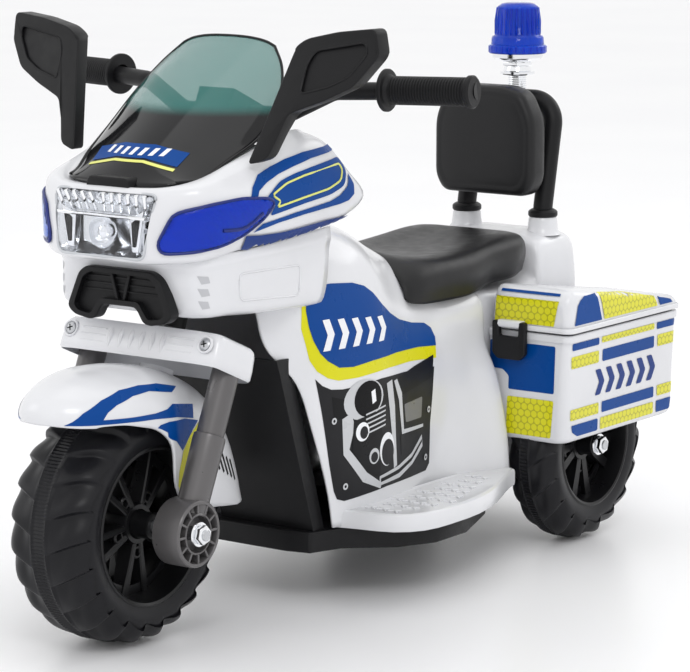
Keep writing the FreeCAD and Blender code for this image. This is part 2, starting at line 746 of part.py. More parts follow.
reflector_front = fairing_front + lens_thickness
reflector = box((-lamp_half_width, lamp_half_width), (reflector_front, fairing_front + lamp_depth),
                (lamp_base, lamp_base + lamp_height))
bowl = box((-lamp_half_width + 2, lamp_half_width - 2), (reflector_front - 1, fairing_front + lamp_depth - 2),
           (lamp_base + 2, lamp_base + lamp_height - 2))
bulb_y = fairing_front + lamp_depth - 18
bulb_z = lamp_base + lamp_height / 2
bulb_seat = rod("y", (0, bulb_y - 2, bulb_z), 30, lamp_bulb_radius)
node(cut(reflector, bowl, bulb_seat), "headlight_reflector")
node(rod("y", (0, bulb_y, bulb_z), 18, lamp_bulb_radius), "headlight_bulb")
node(box((-lamp_half_width, lamp_half_width), (fairing_front, reflector_front),
         (lamp_base, lamp_base + lamp_height)), "headlight_lens")

grille_outline = mirrored([(38, 331), (48, 318), (59, 294), (50, 288), (28, 286), (15, 300)])
node(prism("front", grille_outline, chin_front - 10, chin_front), "intake_grille")

dash_hole = rod("fork", (0, 0, 300), 90, column_radius + 4)
button_spots = [("horn_button", 32), ("music_button", -32)]
button_y = -172
button_z = as_size(430)
button_holes = [rod("z", (x, button_y, button_z - 8), 30, button_radius + button_gap)
                for _, x in button_spots]
dash_side = [(-261, 403), (-101, 403), (-101, 424), (-160, 434), (-200, 430), (-261, 416)]
dash_block = prism("side", dash_side, -65, 65)
dash_hollow = box((-62, 62), (-258, -104), (402, 412))
node(cut(dash_block, dash_hollow, dash_hole, *button_holes), "dash_cowl")
for label, x in button_spots:
    node(rod("z", (x, button_y, button_z - 3), 14, button_radius), label)

screen_y = fairing_front + 36
screen_z = fairing_front_top + 1
screen_plate = cut(rod("y", (0, 0, 0), screen_length, screen_curve),
                   rod("y", (0, -1, 0), screen_length + 2, screen_curve - screen_thickness))
screen_front = [(58, 0), (82, 92), (68, 150), (50, screen_length)]
screen_shape = prism("plan", mirrored(screen_front), screen_curve / 2, screen_curve + 5)
screen = common(screen_plate, screen_shape)
doc.recompute()
leaned = doc.addObject("Part::Feature", "screen")
leaned.Shape = screen.Shape.copy()
tube_y = screen_y + screen_curve * sine(screen_slope)
tube_z = screen_z - screen_curve * cosine(screen_slope)
place(leaned, 0, tube_y, tube_z, Vector(1, 0, 0), screen_slope)
node(cut(leaned, fairing_solid(as_size(0)), prism("side", dash_side, -65, 65)), "windscreen")

for side_name, side in SIDES:
    head = [(118, 470), (190, 493), (212, 522), (206, 545), (132, 534)]
    arm = [(94, 415), (112, 415), (130, 475), (112, 476)]
    plate = prism("front", flipped(head, side), -200, mirror_thickness - 200)
    stalk = prism("front", flipped(arm, side), -228, -186)
    node(cut(fuse(plate, stalk), fairing_solid(as_size(0))), f"mirror_{side_name}")


# ---------------------------------------------------------------- seat, backrest and beacon
seat_side = [(seat_front, tank_top - 42), (seat_front + 14, tank_top - 46),
             (seat_front + 42, seat_line + seat_height),
             (160, seat_line + seat_height - 4), (250, seat_line + seat_height + 2),
             (seat_back, seat_line + seat_height + 4), (seat_back, seat_line), (108, seat_line), (84, 276),
             (60, 290)]
seat_plan = [(34, seat_front), (46, 74), (waist_half_width, 112), (waist_half_width + 1, 150),
             (box_inner - 2, box_front - 6), (box_inner - 2, 262), (waist_half_width - 20, seat_back)]
seat_blank = common(prism("side", seat_side, -120, 120),
                    prism("plan", mirrored(seat_plan), 200, 400))
body_top = common(prism("side", body_side(0), -200, 200),
                  prism("plan", mirrored(body_plan(0)), body_bottom, 400))
node(cut(seat_blank, body_top), "seat")

hoop_y = 330
hoop_lean = dim("hoop_lean", 22)
hoop_route = [(post_half_spacing, hoop_y, post_z - 8), (post_half_spacing, hoop_y, post_z + 26),
              (post_half_spacing, hoop_y + hoop_lean, hoop_top - hoop_radius)]
hoop_route += [(-x, y, z) for x, y, z in reversed(hoop_route)]
solid_node("backrest_hoop", bent_tube(hoop_route, hoop_radius, dim("hoop_bend", 26)))

pad_front = hoop_y - 45
pad_base = 342
pad_back = pad_front + pad_thickness
pad_outline = [(pad_half_width - 8, pad_base), (pad_half_width, pad_base + 14),
               (pad_half_width, pad_base + pad_height - 34),
               (pad_half_width - 14, pad_base + pad_height - 10),
               (30, pad_base + pad_height)]
node(prism("front", mirrored(pad_outline), pad_front, pad_back), "backrest_pad")
bracket = box((-30, 30), (pad_back, hoop_y + 10), (pad_base + 30, pad_base + 60))
hoop_space = box((-post_half_spacing, post_half_spacing), (hoop_y + 2, hoop_y + 60),
                 (pad_base, pad_base + 90))
node(cut(bracket, hoop_space), "pad_bracket")

beacon_y = hoop_y + hoop_lean
beacon_z = hoop_top
node(rod("z", (0, beacon_y, beacon_z), 15, pole_radius), "beacon_pole")
cup = fuse(rod("z", (0, beacon_y, beacon_z + 15), 10, pole_radius + 7),
           cone((0, beacon_y, beacon_z + 25), 12, pole_radius + 3, beacon_base_radius - 4))
node(cup, "beacon_mount")
dome_z = beacon_z + 37
dome = fuse(rod("z", (0, beacon_y, dome_z), 20, beacon_base_radius),
            rod("z", (0, beacon_y, dome_z + 20), beacon_height - 20, beacon_top_radius))
lamp_space = rod("z", (0, beacon_y, dome_z - 1), beacon_height - 3, beacon_top_radius - 4)
node(cut(dome, lamp_space), "beacon_dome")
node(rod("z", (0, beacon_y, dome_z), 30, 8), "beacon_lamp")


# ---------------------------------------------------------------- side boxes with hinged lids
hinge_y = box_back + hinge_barrel_radius + 1
hinge_z = box_rim + 1
barrel_fixed = ((80, 96), (138, 154))
barrel_moving = ((97, 137),)


def barrels(side, ranges, low_edge, high_edge):
    """Hinge barrels over x ranges, each with the leaf that joins it to its wall."""
    pieces = []
    for near, far in ranges:
        low, high = span(side, near, far)
        pieces.append(rod("x", (low, hinge_y, hinge_z), as_size(high) - low, hinge_barrel_radius))
        pieces.append(box((low, high), (box_back - 2, hinge_y), (hinge_z + low_edge, hinge_z + high_edge)))
    return pieces


pins = []
for side_name, side in SIDES:
    shell = box(span(side, box_inner, box_outer), (box_front, box_back), (box_skirt, box_rim))
    interior = box(span(side, box_inner + box_wall, box_outer - box_wall),
                   (box_front + box_wall, box_back - box_wall), (box_floor + box_wall, box_rim + 1))
    arch_space = box(span(side, box_inner - 1, box_outer - box_wall),
                     (box_front + box_wall, box_back - box_wall), (box_skirt - 1, box_floor))
    well_low, well_high = span(side, box_inner - 1, box_outer - box_wall)
    well = rod("x", (well_low, rear_axle_y, rear_wheel_radius), as_size(well_high) - well_low,
               rear_wheel_radius + 3)
    pin_start = span(side, lid_pin_near, lid_pin_near + lid_pin_length)[0]
    bore = rod("x", (pin_start, hinge_y, hinge_z), lid_pin_length, hinge_pin_radius)
    knuckles = barrels(side, barrel_fixed, -4, -1)
    knuckle_start = span(side, lid_knuckle_near, lid_knuckle_near + lid_knuckle_space)[0]
    sweep = rod("x", (knuckle_start, hinge_y, hinge_z), lid_knuckle_space, hinge_barrel_radius + 1)
    node(cut(fuse(shell, *knuckles), interior, arch_space, well, bore, sweep), f"side_box_{side_name}")

    lid_low = box_rim + 1
    lid_side = [(box_front - 2, lid_low), (box_front, lid_low + lid_height - 5),
                (box_front + 12, lid_low + lid_height), (box_front + 62, lid_low + lid_height - 3),
                (box_back - 16, lid_low + lid_back_height), (box_back - 4, lid_low + lid_back_height - 8),
                (box_back - 1, lid_low)]
    lid_hollow = [(box_front + 1, lid_low - 1), (box_front + 3, lid_low + lid_height - 7),
                  (box_front + 14, lid_low + lid_height - 3), (box_front + 62, lid_low + lid_height - 6),
                  (box_back - 18, lid_low + lid_back_height - 3),
                  (box_back - 7, lid_low + lid_back_height - 9),
                  (box_back - 4, lid_low - 1)]
    outer_span = span(side, box_inner, box_outer + 2)
    inner_span = span(side, box_inner + box_wall, box_outer - 1)
    cover = cut(prism("side", lid_side, *outer_span), prism("side", lid_hollow, *inner_span))
    lid_bore = rod("x", (pin_start, hinge_y, hinge_z), lid_pin_length, hinge_pin_radius + running_gap)
    fixed_sweeps = []
    for near, far in barrel_fixed:
        low, high = span(side, near - 0.5, far + 0.5)
        fixed_sweeps.append(rod("x", (low, hinge_y, hinge_z), 17, hinge_barrel_radius + 1))
    latch_half = latch_width / 2
    ear_half = latch_half - latch_ear_inset
    latch_low, latch_high = span(side, latch_middle - latch_half, latch_middle + latch_half)
    ear_low, ear_high = span(side, latch_middle - ear_half, latch_middle + ear_half)
    latch_y = box_front - latch_reach
    latch_z = lid_low + 5
    ear_arm = box((ear_low, ear_high), (latch_y, box_front + 1),
                  (latch_z - latch_ear_radius, latch_z + latch_ear_radius))
    ear = fuse(ear_arm, rod("x", (ear_low, latch_y, latch_z), ear_half * 2, latch_ear_radius))
    latch_pin = rod("x", (latch_low, latch_y, latch_z), latch_width, hinge_pin_radius)
    lid = cut(fuse(cover, *barrels(side, barrel_moving, 0, 4), ear), lid_bore, *fixed_sweeps, latch_pin)
    node(lid, f"lid_{side_name}")

    latch_plate = box((latch_low, latch_high), (latch_y - latch_thickness / 2, latch_y + latch_thickness / 2),
                      (latch_z - latch_drop, latch_z + latch_rise))
    ear_space = box((ear_low - latch_gap, ear_high + latch_gap), (latch_y - 5.5, latch_y + 9),
                    (latch_z - latch_ear_radius - 3, latch_z + 9))
    pin_solid = rod("x", (latch_low, latch_y, latch_z), latch_width, hinge_pin_radius - running_gap)
    node(fuse(cut(latch_plate, ear_space), pin_solid), f"latch_{side_name}")
    pins.append(rod("x", (pin_start, hinge_y, hinge_z), lid_pin_length, hinge_pin_radius))
node(group(*pins), "hinge_pins")


# ---------------------------------------------------------------- rear axle and drive
axle_half = rear_track / 2 + rear_tyre_width / 2 + body_gap
axle("rear_axle", rear_axle_y, rear_wheel_radius, axle_half)
axle_ends("rear_axle_nuts", rear_axle_y, rear_wheel_radius, axle_half)
gear_case = box((-58, -22), (rear_axle_y - 78, rear_axle_y + 26),
                (rear_wheel_radius - 24, rear_wheel_radius + 26))
case_bore = rod("x", (-60, rear_axle_y, rear_wheel_radius), 40, axle_radius)
node(cut(gear_case, case_bore), "gearbox_case")
node(rod("x", (-22, rear_axle_y - 50, rear_wheel_radius), motor_length, motor_radius), "drive_motor")
node(box((-battery_length / 2, battery_length / 2), (battery_front, battery_back),
         (body_bottom, body_bottom + battery_height)), "battery")
node(rod("y", (48, -235, chin_bottom + 26), 16, 20), "speaker")


# ---------------------------------------------------------------- checks and files
doc.recompute()
problems = []
for item in doc.Objects:
    if "Invalid" in item.State or "Error" in item.State:
        problems.append(f"{item.Name} {item.Label}: {item.State}")
for piece in nodes:
    shape = piece.Shape
    if shape.isNull() or not shape.isValid() or not shape.Solids:
        problems.append(f"{piece.Label}: null, invalid or without a solid")
if problems:
    raise SystemExit("\n".join(problems))
os.makedirs("parts", exist_ok=True)
for piece in nodes:
    piece.Shape.exportStep(f"parts/{piece.Label}.step")
print(len(nodes), "nodes")
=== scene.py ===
"""Looks for the battery ride-on motorcycle: shells, graphics, wheels, seat, lamps, stage and camera.

Lengths are written in millimetres in the row frame (+X rider's left, -Y forward, +Z up) and turned into
metres where meshes are made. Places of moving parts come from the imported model's boxes.
"""

import json
import math

import bmesh
import bpy
from mathutils import Matrix, Vector
from mathutils.bvhtree import BVHTree
from mathutils.geometry import delaunay_2d_cdt


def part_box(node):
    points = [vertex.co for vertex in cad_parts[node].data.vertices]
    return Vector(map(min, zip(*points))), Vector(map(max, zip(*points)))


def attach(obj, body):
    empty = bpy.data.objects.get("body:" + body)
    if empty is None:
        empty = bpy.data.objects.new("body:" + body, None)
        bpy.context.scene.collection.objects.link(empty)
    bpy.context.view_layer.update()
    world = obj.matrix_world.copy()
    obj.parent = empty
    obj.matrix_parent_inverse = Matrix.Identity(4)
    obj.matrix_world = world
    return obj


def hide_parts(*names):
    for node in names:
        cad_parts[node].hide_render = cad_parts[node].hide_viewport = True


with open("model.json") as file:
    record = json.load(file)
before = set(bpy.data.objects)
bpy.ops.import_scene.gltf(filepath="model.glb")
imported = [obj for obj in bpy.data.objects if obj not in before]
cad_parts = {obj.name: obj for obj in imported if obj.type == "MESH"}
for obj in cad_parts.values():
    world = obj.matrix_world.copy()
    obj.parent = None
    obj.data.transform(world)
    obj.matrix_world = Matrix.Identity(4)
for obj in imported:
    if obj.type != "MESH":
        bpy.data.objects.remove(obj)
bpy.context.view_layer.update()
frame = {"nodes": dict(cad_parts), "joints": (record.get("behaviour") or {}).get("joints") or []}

MM = 0.001
SIDES = (("left", 1), ("right", -1))
BLUE = (0.0, 0.056, 0.27, 1)
DEEP_BLUE = (0.0, 0.03, 0.2, 1)
YELLOW = (0.7, 0.67, 0.0, 1)
WHITE = (0.74, 0.745, 0.77, 1)
BLACK = (0.008, 0.008, 0.009, 1)
SILVER = (0.55, 0.56, 0.58, 1)
FLOOR = (0.93, 0.93, 0.94, 1)


# ---------------------------------------------------------------- materials
def shader_of(material):
    return material.node_tree.nodes["Principled BSDF"]


def new_material(name, color, roughness, **sockets):
    """A Principled material with plain socket values; detail is added by the helpers below."""
    material = bpy.data.materials.new(name)
    material.use_nodes = True
    shader = shader_of(material)
    shader.inputs["Base Color"].default_value = color
    shader.inputs["Roughness"].default_value = roughness
    for socket, value in sockets.items():
        shader.inputs[socket.replace("_", " ")].default_value = value
    return material


def add_node(material, kind, **values):
    """A new node; a value goes to the input of that name, or else to the node's own setting."""
    made = material.node_tree.nodes.new(kind)
    for key, value in values.items():
        if key.replace("_", " ") in made.inputs:
            made.inputs[key.replace("_", " ")].default_value = value
        else:
            setattr(made, key, value)
    return made


def link(material, *joins):
    """Join sockets, each join given as (node, output, node, input)."""
    for source, output, target, socket in joins:
        material.node_tree.links.new(source.outputs[output], target.inputs[socket])


def grain(material, scale, strength, distance, spread=0.06):
    """Fine moulded grain: fine noise raises the surface, and broad noise moves the roughness a little."""
    shader = shader_of(material)
    rough = shader.inputs["Roughness"].default_value
    place = add_node(material, "ShaderNodeTexCoord")
    fine = add_node(material, "ShaderNodeTexNoise", Scale=scale, Detail=3.0)
    broad = add_node(material, "ShaderNodeTexNoise", Scale=scale * 0.04, Detail=4.0)
    bump = add_node(material, "ShaderNodeBump", Strength=strength, Distance=distance)
    ramp = add_node(material, "ShaderNodeMapRange", From_Min=0.3, From_Max=0.7, To_Min=rough - spread,
                    To_Max=rough + spread)
    link(material, (place, "Object", fine, "Vector"), (fine, "Fac", bump, "Height"),
         (bump, "Normal", shader, "Normal"), (place, "Object", broad, "Vector"),
         (broad, "Fac", ramp, "Value"), (ramp, "Result", shader, "Roughness"))
    return material


def mottle(material, color, other, scale):
    """Slow colour variation between two close colours, as in a moulded or printed surface."""
    place = add_node(material, "ShaderNodeTexCoord")
    noise = add_node(material, "ShaderNodeTexNoise", Scale=scale, Detail=5.0)
    ramp = add_node(material, "ShaderNodeValToRGB")
    for stop, position, tint in zip(ramp.color_ramp.elements, (0.35, 0.65), (color, other)):
        stop.position = position
        stop.color = tint
    link(material, (place, "Object", noise, "Vector"), (noise, "Fac", ramp, "Fac"),
         (ramp, "Color", shader_of(material), "Base Color"))
    return material


def shade(color, factor):
    return tuple(channel * factor for channel in color[:3]) + (1,)


def plastic(name, color, roughness, scale, strength, gloss=0.5, **sockets):
    """Moulded or printed plastic; gloss is its specular level."""
    material = new_material(name, color, roughness, Specular_IOR_Level=gloss, **sockets)
    mottle(material, color, shade(color, 0.93), 9.0)
    return grain(material, scale, strength, 0.0004, 0.05)


def honeycomb(name, color, cell):
    """Retro-reflective sheeting: hexagon cells drawn as slightly darker lines on the colour.

    Distances to the centres of two interleaved rectangular lattices give the hexagons' edges.
    """
    material = new_material(name, color, 0.35, Coat_Weight=0.3)
    links = material.node_tree.links
    place = add_node(material, "ShaderNodeTexCoord")
    split = add_node(material, "ShaderNodeSeparateXYZ")
    link(material, (place, "Object", split, "Vector"))

    def math_node(operation, *items):
        made = add_node(material, "ShaderNodeMath", operation=operation)
        for socket, item in zip(made.inputs, items):
            if isinstance(item, (int, float)):
                socket.default_value = item
            else:
                links.new(item, socket)
        return made.outputs[0]

    around = math_node("ADD", split.outputs["X"], split.outputs["Y"])
    lattice = []
    for shift in (0.0, 0.5):
        squares = []
        for value, period in ((around, cell), (split.outputs["Z"], cell * math.sqrt(3))):
            wrapped = math_node("FRACT", math_node("ADD", math_node("DIVIDE", value, period), shift + 100.0))
            offset = math_node("MULTIPLY", math_node("SUBTRACT", wrapped, 0.5), period)
            squares.append(math_node("POWER", offset, 2.0))
        lattice.append(math_node("SQRT", math_node("ADD", *squares)))
    gap = math_node("ABSOLUTE", math_node("SUBTRACT", *lattice))
    line = math_node("LESS_THAN", gap, cell * 0.07)
    near = math_node("GREATER_THAN", math_node("MINIMUM", *lattice), cell * 0.44)
    mix = add_node(material, "ShaderNodeMix", data_type="RGBA")
    mix.inputs[6].default_value = color
    mix.inputs[7].default_value = shade(color, 0.62)
    links.new(math_node("MAXIMUM", line, near), mix.inputs[0])
    links.new(mix.outputs[2], shader_of(material).inputs["Base Color"])
    return material


def by_height(material, low, high, colors, alphas):
    """Blend colour and opacity over a height range, for a screen that is dark below and clear above."""
    shader = shader_of(material)
    place = add_node(material, "ShaderNodeTexCoord")
    split = add_node(material, "ShaderNodeSeparateXYZ")
    span = add_node(material, "ShaderNodeMapRange", interpolation_type="SMOOTHSTEP", From_Min=low * MM,
                    From_Max=high * MM)
    mix = add_node(material, "ShaderNodeMix", data_type="RGBA")
    mix.inputs[6].default_value, mix.inputs[7].default_value = colors
    alpha = add_node(material, "ShaderNodeMapRange", To_Min=alphas[0], To_Max=alphas[1])
    link(material, (place, "Object", split, "Vector"), (split, "Z", span, "Value"), (span, "Result", mix, 0),
         (mix, 2, shader, "Base Color"), (span, "Result", alpha, "Value"), (alpha, "Result", shader, "Alpha"))
    return material


MATERIALS = {
    "white": plastic("white_gloss", WHITE, 0.22, 900, 0.04, Coat_Weight=0.2, Coat_Roughness=0.1),
    "black": plastic("black_grained", BLACK, 0.42, 2600, 0.22, 0.22),
    "black_gloss": plastic("black_semi_gloss", (0.007, 0.007, 0.008, 1), 0.32, 1400, 0.08, 0.3),
    "tyre": plastic("black_tread", (0.008, 0.008, 0.01, 1), 0.36, 1500, 0.16, 0.22),
    "seat": plastic("seat_skin", (0.009, 0.009, 0.01, 1), 0.38, 2200, 0.30, 0.3),
    "rubber": plastic("grip_rubber", BLACK, 0.5, 2400, 0.3, 0.25),
    "grey": plastic("fork_grey", (0.125, 0.12, 0.122, 1), 0.32, 1800, 0.1, Metallic=0.35),
    "blue": plastic("blue_print", BLUE, 0.3, 1200, 0.03, 0.15),
    "deep_blue": plastic("deep_blue_print", DEEP_BLUE, 0.3, 1200, 0.03, 0.25),
    "yellow": plastic("yellow_print", YELLOW, 0.3, 1200, 0.03, 0.3),
    "yellow_line": plastic("pale_yellow_print", (0.78, 0.8, 0.2, 1), 0.3, 1200, 0.03),
    "white_print": plastic("white_print", (0.88, 0.89, 0.92, 1), 0.3, 1200, 0.03),
    "grey_print": plastic("grey_print", (0.018, 0.018, 0.02, 1), 0.34, 1200, 0.04, 0.12),
    "steel_print": plastic("steel_grey_print", (0.16, 0.16, 0.17, 1), 0.3, 1200, 0.04),
    "silver_print": plastic("silver_print", SILVER, 0.3, 1200, 0.04),
    "dark_print": plastic("dark_grey_print", BLACK, 0.32, 1200, 0.04, 0.12),
    "black_print": plastic("black_print", (0.003, 0.003, 0.004, 1), 0.3, 1200, 0.04, 0.1),
    "hex_yellow": honeycomb("yellow_sheeting", YELLOW, 0.0075),
    "blue_rim": plastic("blue_seam", (0.0, 0.012, 0.16, 1), 0.3, 900, 0.05),
    "clear_rim": plastic("pale_rim", (0.55, 0.57, 0.6, 1), 0.2, 900, 0.05),
    "shadow": plastic("vent_shadow", (0.5, 0.505, 0.53, 1), 0.6, 900, 0.05),
    "floor": mottle(new_material("floor", FLOOR, 0.32), FLOOR, (0.91, 0.91, 0.925, 1), 2.0),
}
for key, name, color, roughness, sockets, relief in (
        ("chrome", "chrome", (0.86, 0.87, 0.89, 1), 0.1, {"Metallic": 1.0}, (700, 0.03, 0.0003, 0.04)),
        ("steel", "zinc", SILVER, 0.3, {"Metallic": 1.0}, (1600, 0.1, 0.0003, 0.08)),
        ("reflector", "reflector_chrome", (0.8, 0.81, 0.83, 1), 0.2, {"Metallic": 1.0},
         (500, 0.05, 0.0003, 0.05)),
        ("blue_lens", "blue_lens", (0.0, 0.1, 0.68, 1), 0.12,
         {"Transmission_Weight": 0.2, "IOR": 1.45, "Coat_Weight": 0.5}, (500, 0.03, 0.0003, 0.03)),
        ("clear_lens", "clear_lens", (0.97, 0.98, 1.0, 1), 0.05,
         {"Transmission_Weight": 1.0, "IOR": 1.35}, (400, 0.02, 0.0002, 0.02)),
        ("smoke", "smoked_screen", (0.05, 0.08, 0.075, 1), 0.08, {"Specular_IOR_Level": 0.35},
         (60, 0.01, 0.0003, 0.02)),
        ("blue_glass", "blue_cover", (0.06, 0.3, 1.0, 1), 0.06,
         {"Transmission_Weight": 0.95, "IOR": 1.3}, (400, 0.02, 0.0002, 0.02))):
    MATERIALS[key] = grain(new_material(name, color, roughness, **sockets), *relief)
by_height(MATERIALS["smoke"], 462, 473, ((0.006, 0.006, 0.007, 1), (0.05, 0.21, 0.19, 1)), (0.985, 0.58))


# ---------------------------------------------------------------- mesh helpers (millimetres in, metres out)
def box_mm(name):
    """The two corners of a CAD node's box, in millimetres."""
    return [[value / MM for value in corner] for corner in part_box(name)]


def link_object(obj):
    bpy.context.scene.collection.objects.link(obj)
    return obj


def mesh_object(name, points, faces, material, smooth=True):
    """A new object from points in millimetres; material is a key of MATERIALS."""
    data = bpy.data.meshes.new(name)
    data.from_pydata([(x * MM, y * MM, z * MM) for x, y, z in points], [], faces)
    data.materials.append(MATERIALS[material])
    if smooth:
        data.shade_smooth()
    data.update()
    return link_object(bpy.data.objects.new(name, data))


def edited(obj, change):
    """Run a change on the piece's mesh."""
    work = bmesh.new()
    work.from_mesh(obj.data)
    change(work)
    work.to_mesh(obj.data)
    work.free()
    return obj


def face_outwards(work):
    bmesh.ops.recalc_face_normals(work, faces=work.faces)


def weld(obj, distance):
    def change(work):
        bmesh.ops.remove_doubles(work, verts=work.verts, dist=distance * MM)
        face_outwards(work)

    return edited(obj, change)


def settle(obj):
    """Apply every modifier, so that the piece is a plain mesh."""
    seen = obj.evaluated_get(bpy.context.evaluated_depsgraph_get())
    made = bpy.data.meshes.new_from_object(seen)
    obj.modifiers.clear()
    obj.data = made
    return obj


def thicken(obj, thickness):
    """Give a skin a wall on the inner side of the drawn surface."""
    wall = obj.modifiers.new("wall", "SOLIDIFY")
    wall.thickness = thickness * MM
    wall.offset = -1.0
    return settle(obj)


def add_bevel(obj, width, segments, angle):
    edge = obj.modifiers.new("edge", "BEVEL")
    edge.width = width * MM
    edge.segments = segments
    edge.limit_method = "ANGLE"
    edge.angle_limit = math.radians(angle)


def smooth_by_angle(obj, angle=32):
    obj.data.set_sharp_from_angle(angle=math.radians(angle))
    return obj


def join(name, objects):
    """Join meshes into one piece, keeping each one's materials."""
    data = bpy.data.meshes.new(name)
    work = bmesh.new()
    keys = []
    for obj in objects:
        start = len(work.faces)
        work.from_mesh(obj.data)
        work.faces.ensure_lookup_table()
        slots = []
        for material in obj.data.materials:
            if material not in keys:
                keys.append(material)
            slots.append(keys.index(material))
        for face in work.faces[start:]:
            face.material_index = slots[face.material_index]
        bpy.data.objects.remove(obj)
    work.to_mesh(data)
    work.free()
    for material in keys:
        data.materials.append(material)
    data.update()
    return link_object(bpy.data.objects.new(name, data))


def curve_points(points, steps):
    """Centripetal Catmull-Rom curve through the points, with a number of steps for each span."""
    nodes = [Vector(p) for p in points]
    nodes = [nodes[0] * 2 - nodes[1]] + nodes + [nodes[-1] * 2 - nodes[-2]]
    made = []
    for a, b, c, d in zip(nodes, nodes[1:], nodes[2:], nodes[3:]):
        knots = [0.0]
        for first, second in ((a, b), (b, c), (c, d)):
            knots.append(knots[-1] + max((second - first).length, 1e-4) ** 0.5)
        for step in range(steps):
            t = knots[1] + (knots[2] - knots[1]) * step / steps

            def between(p, q, low, high):
                span = knots[high] - knots[low]
                return p * ((knots[high] - t) / span) + q * ((t - knots[low]) / span)

            ab, bc, cd = between(a, b, 0, 1), between(b, c, 1, 2), between(c, d, 2, 3)
            made.append(between(between(ab, bc, 0, 2), between(bc, cd, 1, 3), 1, 2))
    made.append(nodes[-2].copy())
    return made


def grid_object(name, rows, material, close_rows=False, close_columns=False):
    """Quads through a grid of points given as rows of equal length."""
    width = len(rows[0])
    faces = []
    for r in range(len(rows) if close_columns else len(rows) - 1):
        for c in range(width if close_rows else width - 1):
            down, right = (r + 1) % len(rows), (c + 1) % width
            faces.append((r * width + c, r * width + right, down * width + right, down * width + c))
    return mesh_object(name, [tuple(p) for row in rows for p in row], faces, material)


def both_sides(row):
    """A half row from the centre plane outwards becomes a whole one from the right side to the left."""
    return [(-x, y, z) for x, y, z in reversed(row) if x != 0] + list(row)


def skin_rows(rows, across, along):
    """Mirror and refine a coarse half grid: smooth along each row, then smooth from row to row."""
    fine = [curve_points(both_sides(row), across) for row in rows]
    columns = [curve_points(column, along) for column in zip(*fine)]
    return [list(row) for row in zip(*columns)]


def skin(name, rows, material, across, along, wall):
    """A walled shell from half rows."""
    return thicken(weld(grid_object(name, skin_rows(rows, across, along), material), 0.05), wall)


def circle(sides):
    """Cosine and sine of evenly spaced angles round a circle."""
    return [(math.cos(2 * math.pi * k / sides), math.sin(2 * math.pi * k / sides)) for k in range(sides)]


def tube(name, path, radius, material, sides):
    """A round bar along a path of points; radius may be a number or a list with one for each point."""
    points = [Vector(p) for p in path]
    radii = radius if isinstance(radius, list) else [radius] * len(points)
    rings = []
    side = (points[1] - points[0]).normalized().orthogonal().normalized()
    for index, point in enumerate(points):
        ahead = (points[min(index + 1, len(points) - 1)] - points[max(index - 1, 0)]).normalized()
        side = (side - ahead * side.dot(ahead)).normalized()
        other = ahead.cross(side)
        rings.append([point + (side * c + other * s) * radii[index] for c, s in circle(sides)])

    def cap(work):
        bmesh.ops.holes_fill(work, edges=[e for e in work.edges if e.is_boundary], sides=0)
        face_outwards(work)

    return smooth_by_angle(edited(grid_object(name, rings, material, close_rows=True), cap), 40)


def lathe(name, profile, origin, axis, material, sides=48):
    """Turn a profile of (distance along the axis, radius) pairs about an axis through origin."""
    direction = Vector(axis).normalized()
    first = direction.orthogonal().normalized()
    second = direction.cross(first)
    start = Vector(origin)
    rows = [[start + direction * along + (first * c + second * s) * max(radius, 0.01)
             for c, s in circle(sides)] for along, radius in profile]
    return smooth_by_angle(weld(grid_object(name, rows, material, close_rows=True), 0.03))


def prism(name, outline, start, end, axis, material, bevel_width=0.0, segments=3):
    """Push a flat outline from start to end along an axis; it holds the other two coordinates in order."""
    count = len(outline)
    points = []
    for depth in (start, end):
        for first, second in outline:
            points.append({"X": (depth, first, second), "Y": (first, depth, second),
                           "Z": (first, second, depth)}[axis])
    faces = [tuple(range(count)), tuple(range(count, 2 * count))]
    faces += [(i, (i + 1) % count, count + (i + 1) % count, count + i) for i in range(count)]
    made = edited(mesh_object(name, points, faces, material, smooth=False), face_outwards)
    if bevel_width:
        add_bevel(made, bevel_width, segments, 35)
        settle(made).data.shade_smooth()
        smooth_by_angle(made)
    return made


def rounded(points, radius, steps=4):
    """Round the corners of an outline by a distance from each corner."""
    made = []
    for index, point in enumerate(points):
        corner = Vector(point)
        back = Vector(points[index - 1]) - corner
        ahead = Vector(points[(index + 1) % len(points)]) - corner
        reach = min(radius, back.length * 0.45, ahead.length * 0.45)
        first, last = corner + back.normalized() * reach, corner + ahead.normalized() * reach
        for step in range(steps + 1):
            t = step / steps
            made.append(tuple(first * (1 - t) ** 2 + corner * 2 * t * (1 - t) + last * t * t))
    return made


def slab(name, low, high, material, edge, segments=2):
    """A block with rounded edges between two corners."""
    (x0, y0, z0), (x1, y1, z1) = low, high
    return prism(name, [(x0, y0), (x1, y0), (x1, y1), (x0, y1)], z0, z1, "Z", material, edge, segments)


def moved(obj, matrix):
    obj.data.transform(matrix)
    obj.data.update()
    return obj


def ring_tube(name, points, radius, material):
    """A thin closed bead along a loop of points."""
    rings = []
    for index, point in enumerate(points):
        ahead = (points[(index + 1) % len(points)] - points[index - 1]).normalized()
        side = ahead.cross(Vector((0.13, 0.21, 0.97))).normalized()
        other = ahead.cross(side)
        rings.append([point + (side * c + other * s) * radius for c, s in circle(8)])
    return grid_object(name, rings, material, close_rows=True, close_columns=True)


def loop_stack(name, loops, material, wall=0.0, cap_first=True, cap_last=True):
    """A closed or open shell through a stack of loops with equal numbers of points."""
    made = grid_object(name, loops, material, close_rows=True)
    count, total = len(loops[0]), len(loops[0]) * len(loops)

    def cap(work):
        work.verts.ensure_lookup_table()
        if cap_first:
            work.faces.new(work.verts[0:count])
        if cap_last:
            work.faces.new(work.verts[total - count:total])
        face_outwards(work)
        for face in work.faces:
            face.smooth = True

    edited(made, cap)
    return thicken(made, wall) if wall else made


